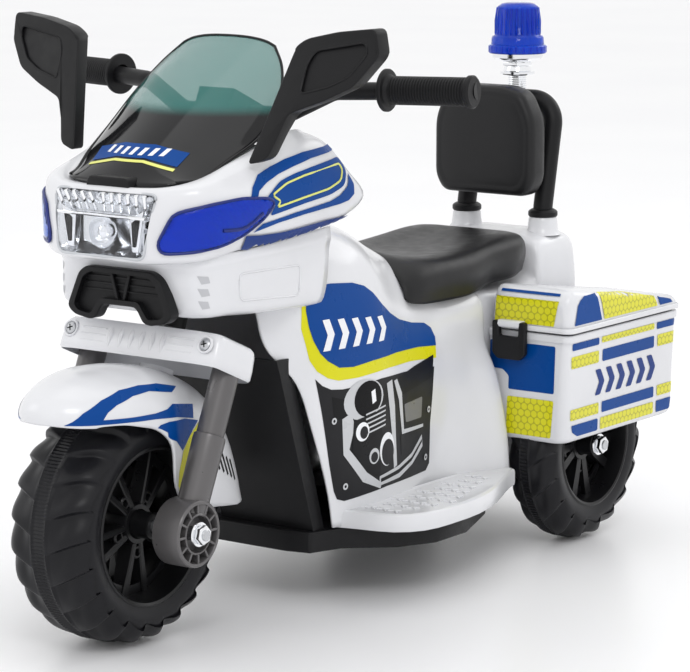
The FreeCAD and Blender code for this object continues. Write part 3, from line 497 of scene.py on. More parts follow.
def rounded_rectangle(x0, x1, y0, y1, radius, steps=6):
    """Counter-clockwise outline with the same number of points whatever its size."""
    radius = max(0.05, min(radius, (x1 - x0) / 2.01, (y1 - y0) / 2.01))
    made = []
    for cx, cy, first in ((x1 - radius, y1 - radius, 0), (x0 + radius, y1 - radius, 90),
                          (x0 + radius, y0 + radius, 180), (x1 - radius, y0 + radius, 270)):
        for step in range(steps + 1):
            angle = math.radians(first + 90 * step / steps)
            made.append((cx + radius * math.cos(angle), cy + radius * math.sin(angle)))
    return made


def cut(obj, tool):
    """Take the tool's shape out of a piece."""
    change = obj.modifiers.new("cut", "BOOLEAN")
    change.operation = "DIFFERENCE"
    change.solver = "EXACT"
    change.object = tool
    settle(obj)
    bpy.data.objects.remove(tool)
    return smooth_by_angle(obj)


def place_piece(obj, body, slot, *nodes):
    """Say which body a piece rides on and hide the CAD nodes that it stands for; the slot argument is not
    used.
    """
    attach(obj, body)
    if nodes:
        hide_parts(*nodes)
    return obj


# ---------------------------------------------------------------- prints laid on a surface
def tree_of(obj):
    """A search tree for laying prints on a piece."""
    return BVHTree.FromObject(obj, bpy.context.evaluated_depsgraph_get())


def inside(ring, point):
    x, y = point
    odd = False
    for index, (x0, y0) in enumerate(ring):
        x1, y1 = ring[index - 1]
        if (y0 > y) != (y1 > y) and x < (x1 - x0) * (y - y0) / (y1 - y0) + x0:
            odd = not odd
    return odd


def drop(tree, pair, axis, side, lift):
    """Where a flat point lands on a surface when it comes in along an axis, or None if it misses."""
    index = "XYZ".index(axis)
    start = list(pair)
    start.insert(index, 900.0 * side)
    direction = Vector((0, 0, 0))
    direction[index] = -side
    hit, normal, _, _ = tree.ray_cast(Vector(start) * MM, direction)
    if hit is None:
        return None
    if normal.dot(direction) > 0:
        normal = -normal
    return (hit + normal * lift * MM) / MM


def along_surface(tree, outline, axis, side, lift):
    """Points of a flat outline dropped on a surface along an axis."""
    spots = [drop(tree, pair, axis, side, lift) for pair in outline]
    return [spot for spot in spots if spot is not None]


def print_on(name, tree, outline, material, axis, side, lift, step):
    """Lay a flat outline on a surface by dropping it along an axis, from the outside inwards.

    The outline holds the two coordinates other than the axis; step is the spacing of the points inside.
    """
    points = []
    for (x0, y0), (x1, y1) in zip(outline, outline[1:] + outline[:1]):
        cuts = max(1, int(math.dist((x0, y0), (x1, y1)) / step))
        points += [(x0 * (1 - k / cuts) + x1 * (k / cuts), y0 * (1 - k / cuts) + y1 * (k / cuts))
                   for k in range(cuts)]
    edges = [(i, (i + 1) % len(points)) for i in range(len(points))]
    low = [min(p[k] for p in outline) for k in (0, 1)]
    high = [max(p[k] for p in outline) for k in (0, 1)]
    u, row = low[0] + step / 2, 0
    while u < high[0]:
        v = low[1] + step / 2 + (step / 2 if row % 2 else 0)
        while v < high[1]:
            if inside(outline, (u, v)) and min(math.dist((u, v), other) for other in points) > step * 0.45:
                points.append((u, v))
            v += step
        u += step
        row += 1
    corners, _, faces, *_ = delaunay_2d_cdt([Vector(p) for p in points], edges, [], 1, 1e-4)
    made, kept = [], {}
    for index, corner in enumerate(corners):
        spot = drop(tree, corner, axis, side, lift)
        if spot is not None:
            kept[index] = len(made)
            made.append(tuple(spot))
    usable = [tuple(kept[i] for i in face) for face in faces if all(i in kept for i in face)]

    def clean(work):
        """Drop faces that span a gap in the surface, and turn the rest outwards."""
        loose = [f for f in work.faces if max(e.calc_length() for e in f.edges) > 3.2 * step * MM]
        bmesh.ops.delete(work, geom=loose, context="FACES")
        face_outwards(work)
        if sum(f.normal["XYZ".index(axis)] * f.calc_area() for f in work.faces) * side < 0:
            bmesh.ops.reverse_faces(work, faces=work.faces)

    return edited(mesh_object(name, made, usable, material), clean)


def printer(made, tree, side, step, rise=0.0):
    """A function that lays outlines on one flank and adds them to a list."""
    def lay(outline, material, lift=0.35, step=step):
        made.append(print_on("print", tree, outline, material, "X", side, lift + rise, step))

    return lay


# ---------------------------------------------------------------- front fairing
FAIRING_ROWS = [
    [(0, -293, 402), (30, -291, 403), (58, -284, 407), (70, -256, 415), (77, -205, 434), (83, -165, 446),
     (84, -140, 448), (82, -128, 442), (74, -124, 436), (60, -122, 428)],
    [(0, -299, 407), (30, -298, 407), (58, -292, 409), (76, -269, 415), (84, -220, 431), (91, -180, 441),
     (92, -148, 445), (89, -127, 442), (79, -121, 436), (64, -120, 428)],
    [(0, -306, 406), (30, -305, 406), (58, -300, 406), (86, -282, 409), (95, -235, 420), (103, -195, 431),
     (104, -155, 438), (100, -122, 436), (88, -114, 431), (70, -113, 424)],
    [(0, -311, 397), (30, -311, 397), (59, -306, 395), (92, -281, 393), (108, -238, 399), (112, -190, 406),
     (114, -145, 411), (108, -97, 409), (94, -90, 405), (72, -92, 400)],
    [(0, -316, 372), (30, -316, 372), (58, -310, 371), (93, -279, 373), (108, -237, 379), (113, -190, 384),
     (114, -140, 387), (109, -74, 384), (94, -67, 381), (70, -76, 378)],
    [(0, -314, 346), (28, -314, 345), (54, -309, 345), (86, -282, 347), (97, -235, 354), (107, -190, 359),
     (110, -145, 364), (106, -96, 369), (92, -92, 368), (68, -94, 367)],
    [(0, -307, 342), (26, -307, 342), (50, -302, 342), (79, -276, 344), (90, -233, 350), (100, -190, 355),
     (103, -146, 360), (98, -104, 365), (84, -102, 364), (62, -102, 363)],
    [(0, -290, 343), (24, -290, 343), (44, -286, 343), (62, -262, 346), (78, -230, 352), (88, -190, 357),
     (90, -146, 362), (86, -110, 366), (74, -108, 365), (56, -108, 364)],
]
HEADLIGHT = [(-57, 403), (57, 403), (48, 347), (-48, 347)]
INDICATOR = [(-301, 388), (-277, 395), (-247, 398), (-221, 396), (-213, 392), (-224, 380), (-243, 367),
             (-264, 359), (-291, 354), (-307, 353), (-309, 362)]


def make_fairing():
    """White nose shell with the headlight opening, its prints and lamps."""
    shell = skin("fairing_skin", FAIRING_ROWS, "white", 5, 5, 2.6)
    outer = tree_of(shell)
    cut(shell, prism("opening", rounded(HEADLIGHT, 7), -340, -284, "Y", "white"))
    place_piece(shell, "chassis", "white_plastic", "fairing")
    for name, side in SIDES:
        prints = fairing_prints(outer, side)
        place_piece(join(f"fairing_graphics_{name}", prints), "chassis", "white_plastic")
        make_indicator(name, side, outer)
    make_headlight(outer)


def fairing_prints(tree, side):
    """Blue and yellow shapes on the flank, given as (y, z)."""
    made = []
    lay = printer(made, tree, side, 4.0, rise=0.55)
    band = [(-241, 396), (-235, 406), (-224, 416), (-208, 422), (-190, 427), (-166, 431), (-121, 434),
            (-115, 429), (-157, 425), (-182, 420), (-202, 415), (-218, 409), (-229, 403), (-234, 395)]
    shape = rounded([(-223, 396), (-202, 409), (-182, 414), (-157, 418), (-114, 423), (-105, 411),
                     (-112, 397), (-132, 391), (-170, 387), (-218, 380), (-211, 389), (-213, 394)], 5, 3)
    line_mid = rounded([(-215, 398), (-194, 406.5), (-169, 411.5), (-116, 417), (-113, 411), (-118, 402),
                        (-136, 396.5), (-170, 392.5), (-209, 387), (-204, 392)], 4, 3)
    lower = [(-233, 367), (-224, 374), (-182, 380), (-132, 385), (-118, 389), (-107, 396), (-103, 407),
             (-96, 397), (-96, 388), (-104, 383), (-117, 381), (-170, 377), (-204, 373)]
    stripe = [(-241, 365), (-224, 364), (-199, 364), (-170, 366), (-144, 368), (-97, 370), (-128, 355),
              (-170, 352), (-194, 351), (-214, 350), (-240, 353)]
    lay(band, "blue", 0.3)
    lay(shape, "blue", 0.3)
    made.append(ring_tube("line", along_surface(tree, line_mid, "X", side, 0.9), 1.0, "yellow_line"))
    lay(lower, "blue", 0.3)
    lay(stripe, "deep_blue", 1.0)
    return made


def make_indicator(name, side, tree):
    """Blue side lamp: ribbed reflector, clear blue cover and a dark blue seam."""
    outline = rounded(INDICATOR, 7, 3)
    ribs = print_on("ribs", tree, outline, "blue_lens", "X", side, 0.3, 2.4)
    for vertex in ribs.data.vertices:
        y, z = vertex.co.y / MM, vertex.co.z / MM
        depth = 0.5 + 0.5 * math.sin((y * 0.8 + z * 0.55) * 1.35)
        vertex.co.x += side * depth * 1.8 * MM
    cover = print_on("cover", tree, outline, "blue_glass", "X", side, 2.6, 4.0)
    thicken(cover, 1.2)
    seam = ring_tube("seam", along_surface(tree, outline, "X", side, 1.6), 1.5, "blue_rim")
    ridge = curve_points([(0, -268, 372), (0, -246, 373), (0, -228, 384)], 5)
    bar = along_surface(tree, [(q.y, q.z) for q in ridge], "X", side, 2.0)
    place_piece(join(f"indicator_lamp_{name}", [ribs, cover, seam, tube("ridge", bar, 1.6, "blue_rim", 8)]),
                "chassis", "blue_lens", f"indicator_{name}")


def make_headlight(tree):
    """Chrome reflector with slanted flutes, two side lamps and one round bulb behind a clear cover."""
    back = box_mm("headlight_reflector")[1][1]
    frame_outline = rounded(HEADLIGHT, 7, 4)
    face = along_surface(tree, frame_outline, "Y", -1, -2.0)
    inner = [(x * 0.86, back - 14, 375 + (z - 375) * 0.8) for x, z in frame_outline]
    deep = [(x * 0.8, back - 8, 373 + (z - 375) * 0.62) for x, z in frame_outline]
    pieces = [loop_stack("bowl", [face, inner, deep], "reflector", cap_first=False)]
    for index in range(11):
        x = -46 + index * 9.2
        path = [(x - math.copysign(3, -x), back - 21.5, 402), (x, back - 16, 386)]
        pieces.append(tube("flute", path, [2.0, 1.4], "chrome", 10))
    pieces.append(prism("shelf", [(-50, 384), (50, 384), (49, 381), (-49, 381)], back - 23, back - 8, "Y",
                        "chrome", 0.8))
    for side in (1, -1):
        blade = [(side * 30, 381), (side * 47, 390), (side * 40, 352), (side * 33, 352)]
        pieces.append(prism("side_lamp", blade, back - 20, back - 12, "Y", "chrome", 1.2))
        blade = [(side * 34, 378), (side * 43, 384), (side * 38, 357), (side * 35, 357)]
        pieces.append(prism("side_glass", blade, back - 21.5, back - 19, "Y", "grey_print", 0.6))
    bowl = [(0.0, 15.0), (4.0, 13.8), (8.0, 10.5), (11.0, 5.0), (11.5, 0.0)]
    pieces.append(lathe("round_bowl", bowl, (0, back - 20, 368), (0, 1, 0), "chrome", 40))
    place_piece(join("headlight_reflector_detail", pieces), "chassis", "chrome", "headlight_reflector")
    bulb = lathe("headlight_bulb_glass", [(0.0, 0.0), (0.6, 3.2), (2.2, 5.6), (5.0, 6.6), (9.0, 6.2),
                                          (12.0, 5.0)],
                 (0, back - 22, 368), (0, 1, 0), "chrome", 32)
    place_piece(bulb, "chassis", "clear_lens", "headlight_bulb")
    cover = print_on("headlight_cover", tree, frame_outline, "clear_lens", "Y", -1, -0.6, 5.0)
    thicken(cover, 1.4)
    place_piece(cover, "chassis", "clear_lens", "headlight_lens")
    border = ring_tube("headlight_border", along_surface(tree, frame_outline, "Y", -1, 0.2), 1.3, "clear_rim")
    place_piece(border, "chassis", "clear_lens")


CHIN_ROWS = [
    [(0, -286, 352), (30, -286, 352), (60, -284, 350), (79, -274, 349), (92, -250, 350), (96, -205, 352),
     (96, -150, 356), (94, -105, 358)],
    [(0, -286, 340), (30, -286, 340), (60, -285, 339), (80, -276, 340), (94, -252, 343), (98, -205, 345),
     (98, -150, 347), (95, -105, 348)],
    [(0, -283, 332), (30, -283, 332), (59, -282, 331), (78, -274, 332), (92, -251, 336), (95, -205, 338),
     (95, -150, 339), (93, -105, 338)],
    [(0, -280, 314), (30, -280, 314), (60, -278, 313), (80, -272, 314), (91, -250, 317), (93, -205, 316),
     (93, -150, 313), (91, -105, 310)],
    [(0, -276, 296), (30, -276, 296), (62, -274, 295), (81, -268, 296), (90, -248, 298), (91, -205, 294),
     (90, -150, 291), (88, -110, 289)],
    [(0, -266, 292), (28, -266, 292), (58, -264, 291), (74, -258, 292), (83, -242, 293), (84, -205, 290),
     (83, -150, 287), (80, -112, 285)],
    [(0, -240, 291), (20, -240, 291), (40, -238, 290), (52, -232, 290), (60, -222, 290), (62, -200, 288),
     (62, -150, 286), (60, -116, 284)],
]


def make_chin():
    """White cover under the nose, with three slanted vents a side and a raised panel edge on each flank."""
    shell = skin("chin_skin", CHIN_ROWS, "white", 5, 4, 2.4)
    tree = tree_of(shell)
    pieces = [shell]
    for side in (1, -1):
        for z in (327, 316, 305):
            vent = [(side * 76, z + 4), (side * 83, z + 3.4), (side * 84, z - 2.4), (side * 79, z - 3.4)]
            pieces.append(print_on("vent", tree, vent, "shadow", "Y", -1, 0.25, 2.0))
        panel = rounded([(-238, 330), (-150, 328), (-150, 300), (-236, 306)], 6, 4)
        pieces.append(ring_tube("panel_edge", along_surface(tree, panel, "X", side, 0.1), 0.9, "white"))
    place_piece(join("chin_cover", pieces), "chassis", "white_plastic")


GRILLE = [(-37, 333), (37, 333), (46, 327), (60, 295), (52, 288), (34, 285), (27, 287), (19, 300), (-19, 300),
          (-27, 287), (-34, 285), (-52, 288), (-60, 295), (-46, 327)]


def make_grille():
    """Black intake surround with two dark openings and a V strut."""
    front = box_mm("intake_grille")[0][1]
    body = prism("grille_body", rounded(GRILLE, 5, 3), front - 1, front + 12, "Y", "black", 1.6)
    opening = rounded([(-33, 328), (33, 328), (41, 323), (52, 297), (47, 292), (33, 290), (22, 305),
                       (-22, 305), (-33, 290), (-47, 292), (-52, 297), (-41, 323)], 3, 2)
    cut(body, prism("opening", opening, front - 6, front + 5.5, "Y", "black"))
    struts = []
    for side in (1, -1):
        struts.append(prism("strut", [(side * 12, 329), (side * 9, 329), (side * 2, 304), (side * 5, 304)],
                            front + 1.5, front + 6.5, "Y", "black", 0.5))
    for z in (312, 318, 324):
        struts.append(slab("louvre", (-44, front + 4, z - 0.8), (44, front + 6.5, z + 0.8), "black", 0.4))
    place_piece(join("intake_surround", [body] + struts), "chassis", "black_plastic", "intake_grille")


SCREEN_ROWS = [
    [(0, -298, 407), (32, -295, 408), (52, -290, 410), (60, -283, 412)],
    [(0, -272, 430), (34, -268, 427), (59, -264, 420), (71, -261, 414)],
    [(0, -243, 453), (38, -240, 448), (66, -238, 435), (79, -236, 427)],
    [(0, -207, 480), (44, -204, 474), (74, -199, 459), (87, -196, 448)],
    [(0, -172, 504), (41, -170, 500), (69, -167, 487), (82, -164, 477)],
    [(0, -147, 520), (34, -146, 517), (57, -144, 510), (68, -142, 503)],
    [(0, -133, 528), (25, -132, 527), (42, -131, 524), (52, -131, 520)],
]


def make_screen():
    """Smoked screen, dark to its shoulder and clear above, with a striped band in place of lettering."""
    grid = skin_rows(SCREEN_ROWS, 6, 6)
    screen = grid_object("screen_skin", grid, "smoke")
    tree = tree_of(screen)
    place_piece(thicken(screen, 2.2), "chassis", "smoked_screen", "windscreen")
    band = [(-48, 423), (-16, 429), (16, 429), (48, 423), (50, 434), (17, 440), (-17, 440), (-50, 434)]
    line = [(-48, 419.5), (-16, 425.5), (16, 425.5), (48, 419.5), (48, 421.5), (16, 427.5), (-16, 427.5),
            (-48, 421.5)]
    pieces = [print_on("band", tree, band, "blue", "Y", -1, 0.4, 4.0),
              print_on("line", tree, line, "yellow_line", "Y", -1, 0.4, 2.0)]
    for x in range(-30, 40, 10):
        mark = [(x - 3.5, 431), (x + 1, 431), (x + 4, 437), (x - 0.5, 437)]
        pieces.append(print_on("mark", tree, mark, "white_print", "Y", -1, 0.6, 3.0))
    place_piece(join("screen_band", pieces), "chassis", "white_plastic")
    edge = [row[0] for row in grid] + grid[-1][1:] + [row[-1] for row in grid[-2::-1]]
    place_piece(tube("screen_edge", edge, 1.3, "black_gloss", 8), "chassis", "smoked_screen")
    notch = prism("screen_notch", rounded([(-26, 400), (26, 400), (22, 415), (-22, 415)], 4), -304, -286, "Y",
                  "black", 1.5)
    place_piece(notch, "chassis", "black_plastic")


def make_mirrors():
    """Each mirror is one arm and head, with a recessed panel in the head."""
    outline = [(99, 425), (118, 431), (123, 447), (131, 470), (163, 482), (190, 495), (209, 521), (205, 545),
               (168, 541), (136, 534), (124, 526), (112, 476), (104, 444)]
    recess = rounded([(139, 487), (166, 494), (184, 503), (198, 523), (196, 533), (146, 524), (140, 512)],
                     5, 3)
    for name, side in SIDES:
        body = prism("mirror_body", rounded(outline, 6, 4), -9, 9, "Y", "black", 3.5, 4)
        cut(body, prism("recess", recess, -14, -6.8, "Y", "black"))
        rim = ring_tube("rim", [Vector((x, -8.8, z)) for x, z in recess], 0.9, "black")
        whole = join(f"mirror_body_{name}", [body, rim])
        for vertex in whole.data.vertices:
            x, y, z = vertex.co / MM
            reach = min(max((z - 434) / 90, -0.3), 1.0)
            narrow = 1.0 if x > 125 else 0.8
            vertex.co = Vector((x, y * narrow - 222 + 32 * reach + (x - 120) * 0.09, z)) * MM
        if side < 0:
            moved(whole, Matrix.Scale(-1, 4, (1, 0, 0)))
            whole.data.flip_normals()
        smooth_by_angle(whole)
        place_piece(whole, "chassis", "black_plastic", f"mirror_{name}")


# ---------------------------------------------------------------- body
BODY_ROWS = [
    [(0, -172, 345), (45, -172, 338), (60, -172, 285), (66, -165, 252), (79, -136, 215), (83, -118, 170),
     (86, -98, 110), (86, -90, 74)],
    [(0, -165, 352), (48, -164, 344), (66, -163, 295), (70, -156, 256), (83, -128, 217), (87, -110, 170),
     (89, -90, 110), (88, -84, 74)],
    [(0, -140, 362), (55, -140, 352), (80, -140, 300), (84, -126, 262), (89, -108, 220), (91, -90, 170),
     (92, -75, 110), (90, -70, 74)],
    [(0, -85, 362), (52, -85, 354), (82, -85, 312), (91, -80, 266), (93, -68, 220), (94, -55, 170),
     (94, -48, 110), (92, -45, 74)],
    [(0, -30, 351), (45, -30, 345), (74, -30, 322), (89, -25, 280), (94, -22, 225), (94, -22, 170),
     (94, -20, 110), (92, -18, 74)],
    [(0, 30, 325), (36, 30, 320), (58, 30, 302), (77, 30, 267), (86, 30, 226), (88, 30, 170), (88, 30, 110),
     (86, 30, 74)],
    [(0, 82, 300), (30, 82, 296), (53, 82, 283), (72, 82, 252), (79, 84, 222), (79, 85, 170), (79, 85, 110),
     (78, 85, 74)],
    [(0, 106, 270), (36, 106, 269), (60, 106, 264), (74, 107, 248), (77, 108, 212), (78, 109, 165),
     (81, 110, 110), (83, 110, 74)],
    [(0, 140, 263), (40, 140, 263), (64, 140, 260), (75, 140, 247), (77, 140, 207), (84, 141, 165),
     (93, 142, 110), (96, 142, 74)],
    [(0, 176, 263), (40, 176, 263), (64, 176, 260), (74, 176, 248), (78, 176, 212), (92, 176, 180),
     (105, 177, 118), (108, 177, 74)],
    [(0, 179, 263), (40, 179, 263), (62, 179, 259), (71, 179, 247), (74, 180, 212), (82, 180, 178),
     (92, 180, 118), (94, 180, 74)],
]
TAIL_SECTIONS = [
    ((172, 284), [(0, 262), (46, 262), (64, 257), (69, 244), (70, 200), (70, 150), (70, 74)]),
    ((289,), [(0, 280), (46, 280), (63, 273), (69, 254), (70, 200), (70, 150), (70, 74)]),
    ((294,), [(0, 300), (46, 299), (62, 292), (69, 266), (70, 200), (70, 150), (70, 74)]),
    ((302, 352), [(0, 303), (46, 302), (63, 295), (69, 268), (70, 200), (70, 150), (70, 74)]),
    ((362,), [(0, 299), (45, 298), (60, 291), (66, 266), (67, 200), (67, 150), (67, 74)]),
    ((367,), [(0, 286), (40, 285), (52, 278), (57, 258), (58, 200), (58, 150), (58, 80)]),
    ((368,), [(0, 240), (12, 239), (20, 236), (24, 225), (24, 190), (24, 150), (24, 110)]),
    ((368,), [(0, 205), (2, 204), (3, 203), (4, 200), (4, 185), (3, 172), (2, 165)]),
]


def make_body():
    """White body and tail with the side prints."""
    body = skin("body_skin", BODY_ROWS, "white", 6, 6, 2.8)
    tree = tree_of(body)
    tail_rows = [[(x, y, z) for x, z in section] for places, section in TAIL_SECTIONS for y in places]
    tail = skin("tail_skin", tail_rows, "white", 4, 4, 2.8)
    post = [(0, 19), (4, 16), (12, 15), (16, 14.6), (18, 13.4), (18, 9)]
    posts = [lathe("post", post, (side * 47, 330, 300), (0, 0, 1), "white", 40) for side in (1, -1)]
    place_piece(join("body_cover", [body, tail] + posts), "chassis", "white_plastic", "body_shell")
    for name, side in SIDES:
        place_piece(join(f"body_graphics_{name}", body_prints(tree, side)), "chassis", "white_plastic")


def body_prints(tree, side):
    """Blue field with chevron bars, yellow border and the printed machinery panel, as (y, z)."""
    made = []
    lay = printer(made, tree, side, 7.0)
    border = [(-133, 296), (-134, 284), (-133, 266), (-128, 251), (-124, 236), (-116, 225), (-103, 217),
              (-89, 213), (-61, 212), (-13, 214), (35, 213), (88, 208), (88, 222), (51, 228), (-39, 230),
              (-68, 228), (-100, 236), (-114, 252), (-121, 280), (-126, 298)]
    lay(border, "yellow", 0.3, 6.0)
    field = [(-129, 294), (-125, 300), (-116, 303), (-93, 303), (-61, 300), (-43, 295), (-30, 287),
             (-17, 275), (-1, 264), (19, 255), (45, 248), (71, 244), (82, 238), (88, 228), (88, 220),
             (51, 224), (3, 226), (-39, 225), (-68, 223), (-88, 225), (-103, 233), (-112, 241), (-120, 254),
             (-125, 267), (-129, 282)]
    lay(field, "blue", 0.6)
    for index in range(5):
        y, z, half = -103 + index * 20, 257 - index, 14.5 - index * 0.7
        bar = [(y - 6, z - half), (y + 3, z - half), (y + 9, z), (y + 3, z + half), (y - 6, z + half), (y, z)]
        lay(bar, "white_print", 0.9, 4.0)
    panel = [(-118, 218), (-110, 211), (-99, 206), (-83, 204), (-61, 204), (-25, 206), (19, 205), (84, 200),
             (82, 174), (77, 145), (76, 106), (69, 100), (-13, 101), (-79, 98), (-88, 101), (-92, 109),
             (-99, 136), (-109, 182)]
    lay(panel, "grey_print", 0.3)
    made.extend(machinery(tree, side))
    return made


def machinery(tree, side):
    """A made-up engine drawing: crankcase, covers, fins, pipes and a plate, as flat printed shapes."""
    made = []
    lay = printer(made, tree, side, 5.0)

    def disc(y, z, ry, rz, material, lift):
        lay([(y + ry * c, z + rz * s) for c, s in circle(24)], material, lift, 4.0)

    lay([(-98, 199), (-70, 191), (-40, 192), (0, 200), (40, 207), (82, 212), (80, 190), (20, 184),
         (-94, 176)], "dark_print", 0.45)
    disc(-52, 190, 30, 19, "silver_print", 0.6)
    disc(-46, 190, 21, 17, "black_print", 0.75)
    lay([(-42, 196), (-36, 198), (-34, 186), (-40, 184)], "white_print", 0.9)
    lay([(-84, 176), (-72, 180), (-66, 168), (-74, 146), (-48, 120), (-24, 106), (-26, 101), (-54, 112),
         (-82, 142)],
        "silver_print", 0.6)
    lay([(-68, 172), (-30, 176), (-22, 150), (-28, 112), (-50, 122), (-70, 144)], "dark_print", 0.75)
    for index in range(5):
        z = 178 - index * 4.5
        lay([(-50, z - 2), (-18, z + 2), (-18, z + 0.4), (-50, z - 3.6)], "silver_print", 0.9, 4.0)
    disc(-55, 160, 10, 9, "white_print", 0.9)
    disc(-53, 159, 6, 6, "grey_print", 1.05)
    disc(-37, 134, 8, 7.5, "silver_print", 0.9)
    disc(-37, 133, 5.5, 5, "grey_print", 1.05)
    disc(-15, 137, 13, 16, "white_print", 0.9)
    disc(-14, 134, 11, 12.5, "grey_print", 1.05)
    for pipe in ([(-16, 200), (-6, 202), (0, 176), (2, 140), (4, 118), (-2, 116), (-6, 150), (-10, 174)],
                 [(-2, 200), (4, 201), (14, 186), (18, 150), (60, 148), (60, 145), (14, 146), (8, 180)]):
        lay(pipe, "silver_print", 0.75)
    lay(rounded([(15, 177), (62, 178), (59, 152), (19, 153)], 2, 2), "grey_print", 0.6)
    lay(rounded([(19, 174), (58, 175), (56, 155), (22, 156)], 2, 2), "steel_print", 0.75)
    lay([(11, 146), (60, 144), (58, 131), (13, 126)], "grey_print", 0.6)
    lay([(-28, 113), (8, 117), (34, 124), (57, 138), (59, 126), (36, 113), (10, 105), (-28, 104)],
        "silver_print", 0.75)
    lay([(-26, 110.5), (8, 113.5), (34, 120), (57, 133.5), (57, 130.5), (34, 116.5), (8, 109.5), (-26, 107)],
        "dark_print", 0.9)
    for y, z in ((-95, 176), (-79, 112), (72, 160), (66, 114)):
        disc(y, z, 3.2, 3.2, "silver_print", 1.2)
        disc(y, z, 1.4, 1.4, "black_print", 1.35)
    return made


# ---------------------------------------------------------------- wheels
def round_node(name):
    """Middle, radius and width of a wheel node, in millimetres."""
    low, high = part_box(name)
    middle = (low + high) / 2 / MM
    return middle, (high.z - low.z) / 2 / MM, (high.x - low.x) / MM


def step_up(value, low, high):
    """Smooth step from 0 at low to 1 at high."""
    share = min(max((value - low) / (high - low), 0.0), 1.0)
    return share * share * (3 - 2 * share)


def tread_height(turn, across, lugs, fine):
    """Height of the tread above its base: paddle lugs to each side of a finely ribbed centre band."""
    near = abs(across)
    if near < 0.16:
        rib = 0.5 + 0.5 * math.cos(2 * math.pi * turn * fine)
        return -2.0 + 0.9 * step_up(rib, 0.3, 0.7)
    if near < 0.22:
        return -0.4 - 1.4 * abs(near - 0.19) / 0.03
    side = 1 if across > 0 else -1
    phase = (turn * lugs - near * 0.62 + (0.5 if side < 0 else 0.0)) % 1.0
    ramp = step_up(phase, 0.0, 0.07) * (1 - step_up(phase, 0.12, 1.0))
    reach = step_up(near, 0.22, 0.55)
    return -1.2 - 6.0 * (0.3 + 0.7 * reach) * (1 - ramp)


def make_tyre(node, body, lugs, rim_radius):
    """Moulded tyre: one section of (x, radius, share of the tread, place across) carried round the wheel."""
    middle, radius, width = round_node(node)
    half, wall_low, shoulder = width / 2, rim_radius - 1.5, radius - 13
    side_steps, tread_steps = 7, 44
    wall = []
    for step in range(side_steps):
        share = step / side_steps
        wall.append((half * (0.93 + 0.07 * math.sin(math.pi * min(1, share * 1.1))),
                     wall_low + (shoulder - wall_low) * share, {6: 0.75, 5: 0.35}.get(step, 0.0)))
    section = [(-x, r, share, -1.0) for x, r, share in wall]
    for step in range(tread_steps + 1):
        across = -1 + 2 * step / tread_steps
        crown = radius - 13 * abs(across) ** 5 - 1.5 * across ** 2
        section.append((across * half * 0.985, crown, 1.0, across))
    section += [(x, r, share, 1.0) for x, r, share in reversed(wall)]
    around = lugs * 36
    rows = []
    for index in range(around):
        turn = index / around
        angle = 2 * math.pi * turn
        ring = []
        for x, r, share, across in section:
            rise = tread_height(turn, across, lugs, lugs * 9) * share
            if share == 1.0:
                r += rise
            else:
                x -= math.copysign(rise * 0.35, x)
                r += rise * 0.4
            ring.append((middle.x + x, middle.y + r * math.sin(angle), middle.z + r * math.cos(angle)))
        rows.append(ring)
    tyre = grid_object(node + "_tread", rows, "tyre", close_columns=True)
    bead = half * 0.93
    inner = lathe("inner", [(-bead, wall_low), (-bead, rim_radius - 4), (bead, rim_radius - 4),
                            (bead, wall_low)], middle, (1, 0, 0), "tyre", 96)
    piece = edited(join(node + "_moulded", [tyre, inner]), face_outwards)
    place_piece(smooth_by_angle(piece, 50), body, "wheel_plastic", node)


def make_rim(node, body, hub_half, dish):
    """Deep rim with five pairs of V spokes, round holes between them and a stepped hub."""
    middle, radius, width = round_node(node)
    half = width / 2
    flange = [(half * 0.5, radius - 8), (half * 0.93, radius - 5), (half * 0.96, radius - 3),
              (half * 0.94, radius - 1)]
    barrel = [(-x, r) for x, r in reversed(flange)] + flange
    pieces = [lathe("barrel", barrel, middle, (1, 0, 0), "black_gloss", 96)]
    for side in (1, -1):
        face = half - dish
        start = Vector(middle) + Vector((side * (face - 9), 0, 0))
        web = [(0, radius - 7), (2, radius - 12), (2, radius - 17), (0, radius - 17.5)]
        pieces.append(lathe("web", web, start, (side, 0, 0), "black_gloss", 96))
        hub = [(-face + 6, 19), (5, 19), (8, 17.5), (8, 13.5), (6, 12.5), (hub_half - face + 8, 11.5),
               (hub_half - face + 9, 10), (hub_half - face + 9, 6.2)]
        pieces.append(lathe("hub", hub, start, (side, 0, 0), "black_gloss", 48))
        for index in range(5):
            for lean in (1, -1):
                pieces.append(spoke(start, side, index * 72 + 36, lean, radius))
            angle = math.radians(index * 72 + 36)
            out = Vector((0, math.sin(angle), math.cos(angle)))
            pieces.append(lathe("eye", [(0, 6.0), (5, 6.0), (6, 5.2), (6, 3.6), (1, 3.4)], start + out * 26,
                                (side, 0, 0), "black_gloss", 20))
    place_piece(join(node + "_spoked", pieces), body, "wheel_plastic", node)


def spoke(start, side, angle, lean, radius):
    """One leg of a V pair: narrow at the hub, leaning away from its partner towards the rim."""
    turn = Matrix.Rotation(math.radians(-angle), 4, "X")
    inner, outer = 16.0, radius - 8.0
    rows = []
    for share in (0.0, 0.25, 0.5, 0.75, 1.0):
        r = inner + (outer - inner) * share
        mid = lean * (4.0 + 10.5 * share ** 1.15)
        half = 2.6 + 1.7 * share
        top = 7.5 - 4.0 * share
        loop = [(-9, mid - half - 1), (top - 1.2, mid - half), (top, mid - half + 1.2),
                (top, mid + half - 1.2), (top - 1.2, mid + half), (-9, mid + half + 1)]
        ring = []
        for x, y in loop:
            point = turn @ Vector((0, y, r))
            ring.append((start[0] + side * x, start[1] + point.y, start[2] + point.z))
        rows.append(ring)
    return smooth_by_angle(loop_stack("spoke", rows, "black_gloss"))


